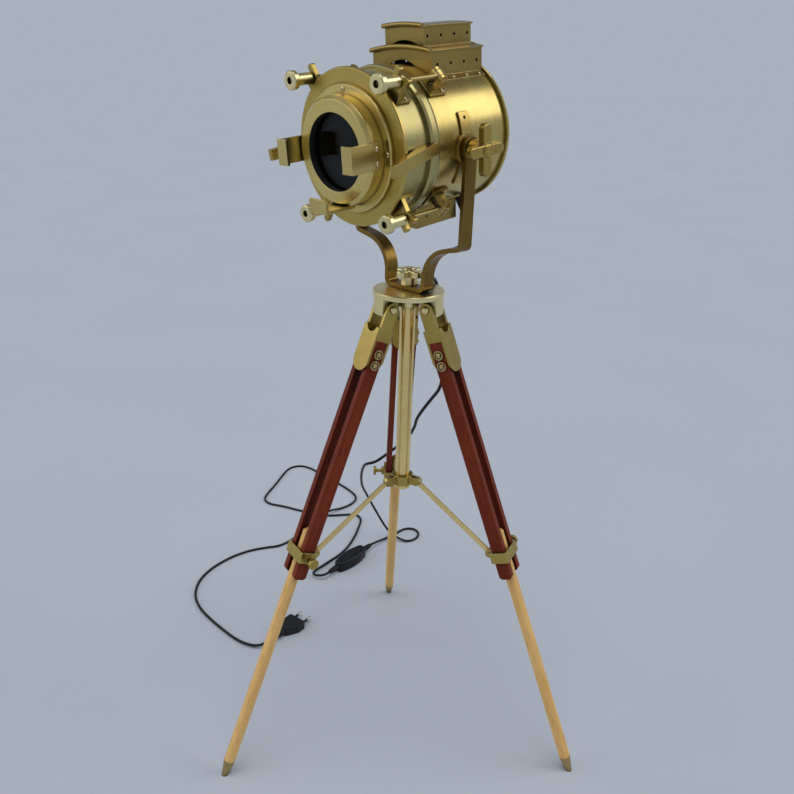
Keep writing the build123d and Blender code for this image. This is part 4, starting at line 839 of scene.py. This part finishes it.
@dataclass
class Flex(Assembly):
    """The cord's three stretches, with its switch and plug."""

    thickness: float = 0.004
    head_route: list[Point] = field(default_factory=lambda: [
        (0.0376, 0.045, 0.6418), (0.0403, 0.0456, 0.6359), (0.0425, 0.043, 0.621), (0.04, 0.036, 0.613),
        (0.033, 0.0265, 0.6095), (0.0255, 0.0185, 0.603), (0.0198, 0.0136, 0.5928),
        (0.0176, 0.014, 0.5843), (0.0132, 0.019, 0.5778), (0.008, 0.027, 0.575),
    ])
    drop_route: list[Point] = field(default_factory=lambda: [
        (0.008, 0.027, 0.575), (0.0028, 0.035, 0.5722), (-0.0025, 0.045, 0.569),
        (-0.0043, 0.0535, 0.556), (-0.0025, 0.056, 0.531), (0.003, 0.054, 0.499), (0.009, 0.053, 0.468),
        (0.007, 0.055, 0.44), (-0.012, 0.059, 0.417), (-0.032, 0.066, 0.394), (-0.052, 0.078, 0.372),
        (-0.07, 0.096, 0.351), (-0.088, 0.106, 0.329), (-0.104, 0.102, 0.309), (-0.115, 0.088, 0.295),
        (-0.119, 0.072, 0.2875), (-0.132, 0.067, 0.282), (-0.153, 0.084, 0.266), (-0.183, 0.109, 0.241),
        (-0.221, 0.142, 0.203), (-0.256, 0.176, 0.164), (-0.284, 0.205, 0.134), (-0.301, 0.23, 0.105),
        (-0.309, 0.25, 0.076), (-0.309, 0.264, 0.051), (-0.302, 0.273, 0.029), (-0.292, 0.278, 0.014),
        (-0.28, 0.28, 0.0095), (-0.267, 0.283, 0.005), (-0.254, 0.292, 0.0022), (-0.251, 0.311, 0.002),
        (-0.261, 0.328, 0.002), (-0.279, 0.331, 0.002), (-0.2895, 0.318, 0.002), (-0.289, 0.3, 0.002),
        (-0.2875, 0.272, 0.003), (-0.2853, 0.2344, 0.0095), (-0.2844, 0.2269, 0.0095),
    ])
    tail_route: list[Point] = field(default_factory=lambda: [
        (-0.2716, 0.1197, 0.0095), (-0.2707, 0.1122, 0.0095), (-0.2735, 0.1055, 0.009),
        (-0.2794, 0.101, 0.0077), (-0.2868, 0.1001, 0.0062), (-0.2936, 0.1031, 0.0047),
        (-0.298, 0.109, 0.0033), (-0.304, 0.15, 0.002), (-0.307, 0.176, 0.002), (-0.316, 0.204, 0.002),
        (-0.335, 0.238, 0.002), (-0.354, 0.265, 0.002), (-0.369, 0.284, 0.002), (-0.387, 0.288, 0.002),
        (-0.401, 0.272, 0.002), (-0.418, 0.247, 0.002), (-0.443, 0.23, 0.002), (-0.475, 0.217, 0.002),
        (-0.506, 0.205, 0.002), (-0.531, 0.191, 0.002), (-0.552, 0.194, 0.002), (-0.566, 0.213, 0.002),
        (-0.583, 0.244, 0.002), (-0.606, 0.281, 0.002), (-0.624, 0.312, 0.002), (-0.618, 0.337, 0.002),
        (-0.592, 0.347, 0.002), (-0.551, 0.344, 0.002), (-0.507, 0.345, 0.002), (-0.463, 0.342, 0.002),
        (-0.433, 0.333, 0.002), (-0.421, 0.307, 0.002), (-0.423, 0.276, 0.003), (-0.424, 0.256, 0.0085),
        (-0.421, 0.236, 0.0085), (-0.416, 0.214, 0.003), (-0.408, 0.179, 0.002), (-0.401, 0.145, 0.002),
        (-0.399, 0.116, 0.002), (-0.413, 0.093, 0.002), (-0.425, 0.065, 0.002), (-0.429, 0.03, 0.002),
        (-0.424, -0.008, 0.002), (-0.409, -0.043, 0.002), (-0.381, -0.07, 0.002), (-0.346, -0.083, 0.002),
        (-0.31, -0.086, 0.002), (-0.277, -0.086, 0.002), (-0.246, -0.085, 0.002), (-0.222, -0.08, 0.0035),
        (-0.207, -0.072, 0.0055), (-0.2032, -0.0543, 0.0068), (-0.2042, -0.0469, 0.0068),
    ])
    switch_place: Point = (-0.278, 0.1733, 0.0095)
    switch_turn: float = -83.2
    switch_relief: Span = (0.0295, 0.054)
    switch_ribs: tuple[float, ...] = (0.038, 0.0412, 0.0444, 0.0476, 0.0508)
    plug_place: Point = (-0.2042, -0.0469, 0.0068)
    plug_turn: float = 98.0
    plug_relief: Span = (0.023, 0.0)
    plug_ribs: tuple[float, ...] = (0.004, 0.0072, 0.0104, 0.0136, 0.0168)
    relief_radii: Span = (0.005, 0.003)
    rib_thick: float = 0.0006
    pin_root: float = 0.052
    pin_pitch: float = 0.0186
    sleeve_bore: float = 0.0019
    sleeve_radius: float = 0.00208
    sleeve_rim: float = 0.00202
    sleeve_chamfer: float = 0.0003
    sleeve_length: float = 0.0098
    sleeve_seat: float = 0.0005
    ring_steps: int = 24
    curve_steps: int = 10
    round_steps: int = 5

    def curve(self, name: str, route: list[Point]) -> bpy.types.Object:
        """Smooth curve with the route's points as its control points.

        Args:
            name: The curve's name.
            route: Points in the row frame, in metres.

        Returns:
            The curve with no thickness.
        """
        data = bpy.data.curves.new(name, "CURVE")
        data.dimensions = "3D"
        data.resolution_u = self.curve_steps
        data.bevel_resolution = self.round_steps
        data.use_fill_caps = True
        spline = data.splines.new("NURBS")
        spline.points.add(len(route) - 1)
        for point, spot in zip(spline.points, route):
            point.co = (*spot, 1.0)
        spline.order_u = 3
        spline.use_endpoint_u = True
        curve = bpy.data.objects.new(name, data)
        bpy.context.scene.collection.objects.link(curve)
        return curve

    def line(self, curve: bpy.types.Object) -> list[Point]:
        """Points along a curve that has no thickness.

        Args:
            curve: The curve.

        Returns:
            The points in order, in the row frame.
        """
        mesh = bpy.data.meshes.new_from_object(curve)
        points = [tuple(vertex.co) for vertex in mesh.vertices]
        bpy.data.meshes.remove(mesh)
        return points

    def stretch(self, name: str, route: list[Point]) -> tuple[bpy.types.Object, list[Point], float]:
        """One stretch of cord as a mesh tube.

        Args:
            name: The stretch's name.
            route: Its route.

        Returns:
            The tube, the points that it follows and its length.
        """
        curve = self.curve(name + "_line", route)
        path = self.line(curve)
        curve.data.bevel_depth = self.thickness / 2
        data = bpy.data.meshes.new_from_object(curve)
        data.name = name
        data.materials.clear()
        data.materials.append(RUBBER.material())
        data.shade_smooth()
        bpy.data.objects.remove(curve)
        tube = bpy.data.objects.new(name, data)
        bpy.context.scene.collection.objects.link(tube)
        length = sum((Vector(b) - Vector(a)).length for a, b in zip(path, path[1:]))
        log.info("cord %s, %.3f m", name, length)
        return tube, path, length

    def build(self) -> None:
        """Builds the three stretches and dresses the pieces on them."""
        head, path, length = self.stretch("flex_head", self.head_route)
        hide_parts("cord_head")
        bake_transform(head)
        drop, path, length = self.stretch("flex_drop", self.drop_route)
        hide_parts("cord_drop")
        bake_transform(drop)
        tail, path, length = self.stretch("flex_tail", self.tail_route)
        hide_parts("cord_tail")
        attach(tail, "tripod_head")
        self.dress(SWITCH_SHELL, "switch_body")
        self.dress(PLASTIC, "switch_rocker", "plug_body", "cable_gland")
        self.dress(NICKEL, "plug_pins")
        self.ribs()
        self.sleeves()

    @staticmethod
    def setting(place: Point, turn: float) -> Matrix:
        """Placement of a fitting, with its axis along X."""
        return Matrix.Translation(place) @ Matrix.Rotation(radians(turn), 4, "Z")

    def relief_radius(self, spot: float, relief: Span) -> float:
        """Radius of a tapered relief.

        Args:
            spot: Place along the fitting's axis.
            relief: Places of its thick and its thin end.

        Returns:
            The radius at that place.
        """
        thick, thin = self.relief_radii
        root, end = relief
        return thick + (thin - thick) * (spot - root) / (end - root)

    def ribs(self) -> None:
        """Builds the grip ribs on the tapered ends of the switch and the plug."""
        switch = self.setting(self.switch_place, self.switch_turn)
        mesh = bmesh.new()
        for spot in self.switch_ribs:
            radius = self.relief_radius(spot, self.switch_relief)
            for end in (spot, -spot):
                Maker.lathe(mesh, Maker.bead(end, radius, self.rib_thick), switch, self.ring_steps)
        Maker.keep("switch_ribs", mesh, PLASTIC, "black_plastic", "tripod_head")
        plug = self.setting(self.plug_place, self.plug_turn)
        mesh = bmesh.new()
        for spot in self.plug_ribs:
            radius = self.relief_radius(spot, self.plug_relief)
            Maker.lathe(mesh, Maker.bead(spot, radius, self.rib_thick), plug, self.ring_steps)
        Maker.keep("plug_ribs", mesh, PLASTIC, "black_plastic", "tripod_head")

    def sleeves(self) -> None:
        """Builds the black sleeves at the roots of the plug's pins."""
        plug = self.setting(self.plug_place, self.plug_turn)
        root = self.pin_root - self.sleeve_seat
        end = self.pin_root + self.sleeve_length
        outline = [(root, self.sleeve_bore), (root, self.sleeve_radius),
                   (end - self.sleeve_chamfer, self.sleeve_radius), (end, self.sleeve_rim),
                   (end, self.sleeve_bore)]
        mesh = bmesh.new()
        for side in (-1, 1):
            place = plug @ Matrix.Translation((0.0, side * self.pin_pitch / 2, 0.0))
            Maker.lathe(mesh, outline, place, self.ring_steps)
        Maker.keep("pin_sleeves", mesh, PLASTIC, "black_plastic", "tripod_head")


@dataclass(frozen=True)
class BoxInside:
    """Inside of a sheet-metal box, in the lamp's frame."""

    half_width: float
    front: float
    back: float
    level: float

    def lined_by(self, spot: Vector, way: Vector) -> bool:
        """Tells whether a face lines the box.

        Args:
            spot: The face's middle, in the row frame.
            way: The face's direction.

        Returns:
            True where it lies in the box and looks at its middle.
        """
        spot, way = LAMP_FRAME @ spot, LAMP_FRAME.to_3x3() @ way
        middle = Vector((0.0, (self.front + self.back) / 2, self.level))
        within = abs(spot.x) < self.half_width and self.front < spot.y < self.back
        return within and way.dot(spot - middle) < 0


@dataclass
class LampHead(Assembly):
    """Drum, barrel, lens, chimney, clips, handles and the swing bolts."""

    # A black sheet of painted shade lining the drum's inside.
    liner_radius: float = 0.0642
    liner_front: float = 0.078
    liner_back: float = -0.0555
    liner_wall: float = 0.0005
    liner_hole: float = 0.018
    liner_steps: int = 72
    bore_facing: float = 0.5
    low_tier: BoxInside = BoxInside(half_width=0.0384, front=-0.0123, back=0.0597, level=0.072)
    top_tier: BoxInside = BoxInside(half_width=0.0246, front=-0.0078, back=0.0597, level=0.091)
    under_box: BoxInside = BoxInside(half_width=0.0286, front=-0.0297, back=0.0297, level=-0.074)

    def liner(self) -> None:
        """Builds the black lining that the lens shows: a sheet of painted shade inside the closed drum."""
        inner = self.liner_radius - self.liner_wall
        plate = self.liner_back + self.liner_wall
        outline = [(self.liner_back, self.liner_radius), (self.liner_front, self.liner_radius),
                   (self.liner_front, inner), (plate, inner), (plate, self.liner_hole),
                   (self.liner_back, self.liner_hole)]
        mesh = bmesh.new()
        Maker.lathe(mesh, outline, LAMP_PLACE @ Matrix.Rotation(radians(-90), 4, "Z"), self.liner_steps)
        Maker.keep("drum_shade_lining", mesh, BLACK_PAINT_AND_SHADE, "black_plastic", "lamp_head")

    def in_bore(self, spot: Vector, way: Vector) -> bool:
        """Tells whether a face, by its middle and direction in the row frame, looks at the lamp's axis."""
        spot, way = LAMP_FRAME @ spot, LAMP_FRAME.to_3x3() @ way
        return spot.x * way.x + spot.z * way.z < -self.bore_facing * hypot(spot.x, spot.z)

    def build(self) -> None:
        """Builds the lining and dresses the head's nodes."""
        self.dress(BARREL, "front_barrel")
        self.dress(DRUM, "rear_drum", "rear_cover")
        self.dress(TURNED, "front_flange")
        self.dress(RING, "lens_ring", "bezel_ring")
        self.dress(CLIP, "filter_clips")
        self.dress(SHEET, "chimney_lower", "chimney_upper", "vent_box")
        self.dress(SATIN, "side_handles", "hinge_lugs", "fork_lugs", "pivot_straps")
        self.dress(SCREW, "head_screws")
        self.dress(BLACK_PAINT_AND_SHADE, "lens_retainer", "lamp_holder")
        self.dress(LENS, "lens_glass")
        self.dress(ENVELOPE, "bulb")
        for number in (1, 2, 3, 4):
            self.dress(THREADED, f"swing_bolt_{number}")
            self.dress(PALE, f"thumb_nut_{number}")
        # Painted shade: the inner faces of the barrel, drum, rings and flange that look at the axis are made
        # matt black.
        for name in ("front_barrel", "rear_drum", "lens_ring", "bezel_ring", "front_flange"):
            self.repaint(BLACK_PAINT_AND_SHADE, name, self.in_bore)
        # Painted shade: the inner faces of the chimney tiers and the vent box are made matt black.
        self.repaint(BLACK_PAINT_AND_SHADE, "chimney_lower", self.low_tier.lined_by)
        self.repaint(BLACK_PAINT_AND_SHADE, "chimney_upper", self.top_tier.lined_by)
        self.repaint(BLACK_PAINT_AND_SHADE, "vent_box", self.under_box.lined_by)
        self.liner()


@dataclass
class Stand(Assembly):
    """Yoke with its knobs, tripod head, column, hub, struts and three legs."""

    bracket_side: float = 0.0142
    tip_height: float = 0.021

    def build(self) -> None:
        """Dresses the stand's nodes."""
        self.dress(BAR, "yoke")
        self.dress(KNOB, "tilt_knob_left", "tilt_knob_right")
        self.dress(PLATE, "tripod_head", "pan_knob")
        self.dress(TUBE, "column")
        self.dress(CASTING, "spider_hub")
        for number in (1, 2, 3):
            self.dress(CASTING, f"leg_bracket_{number}", f"leg_clamp_{number}")
            self.dress(TUBE, f"strut_{number}")
            self.dress(KNOB, f"clamp_screw_{number}")
            self.dress(rail_wood(number), f"leg_rails_{number}")
            self.dress(rod_wood(number), f"lower_leg_{number}")
            self.ferrule(number)
            self.bolts(number)

    def ferrule(self, number: int) -> None:
        """Gives the conical tip of a lower leg, by the leg's number, its own finish."""
        self.repaint(TIP, f"lower_leg_{number}", lambda spot, way: spot.z < self.tip_height)

    def bolts(self, number: int) -> None:
        """Gives the bolt heads and washers beside a leg's bracket a brighter finish.

        Args:
            number: The leg's number.
        """
        turn = radians(LEG_TURNS[number - 1])
        self.repaint(BOLT, f"leg_bracket_{number}",
                     lambda spot, way: abs(spot.y * cos(turn) - spot.x * sin(turn)) > self.bracket_side)


def main() -> None:
    """Builds the studio and every sub-assembly."""
    logging.basicConfig(level=logging.INFO, format="%(name)s: %(message)s")
    for assembly in (Studio(), Flex(), LampHead(), Stand()):
        assembly.build()
        log.info("built %s", type(assembly).__name__)


if __name__ == "__main__":
    main()
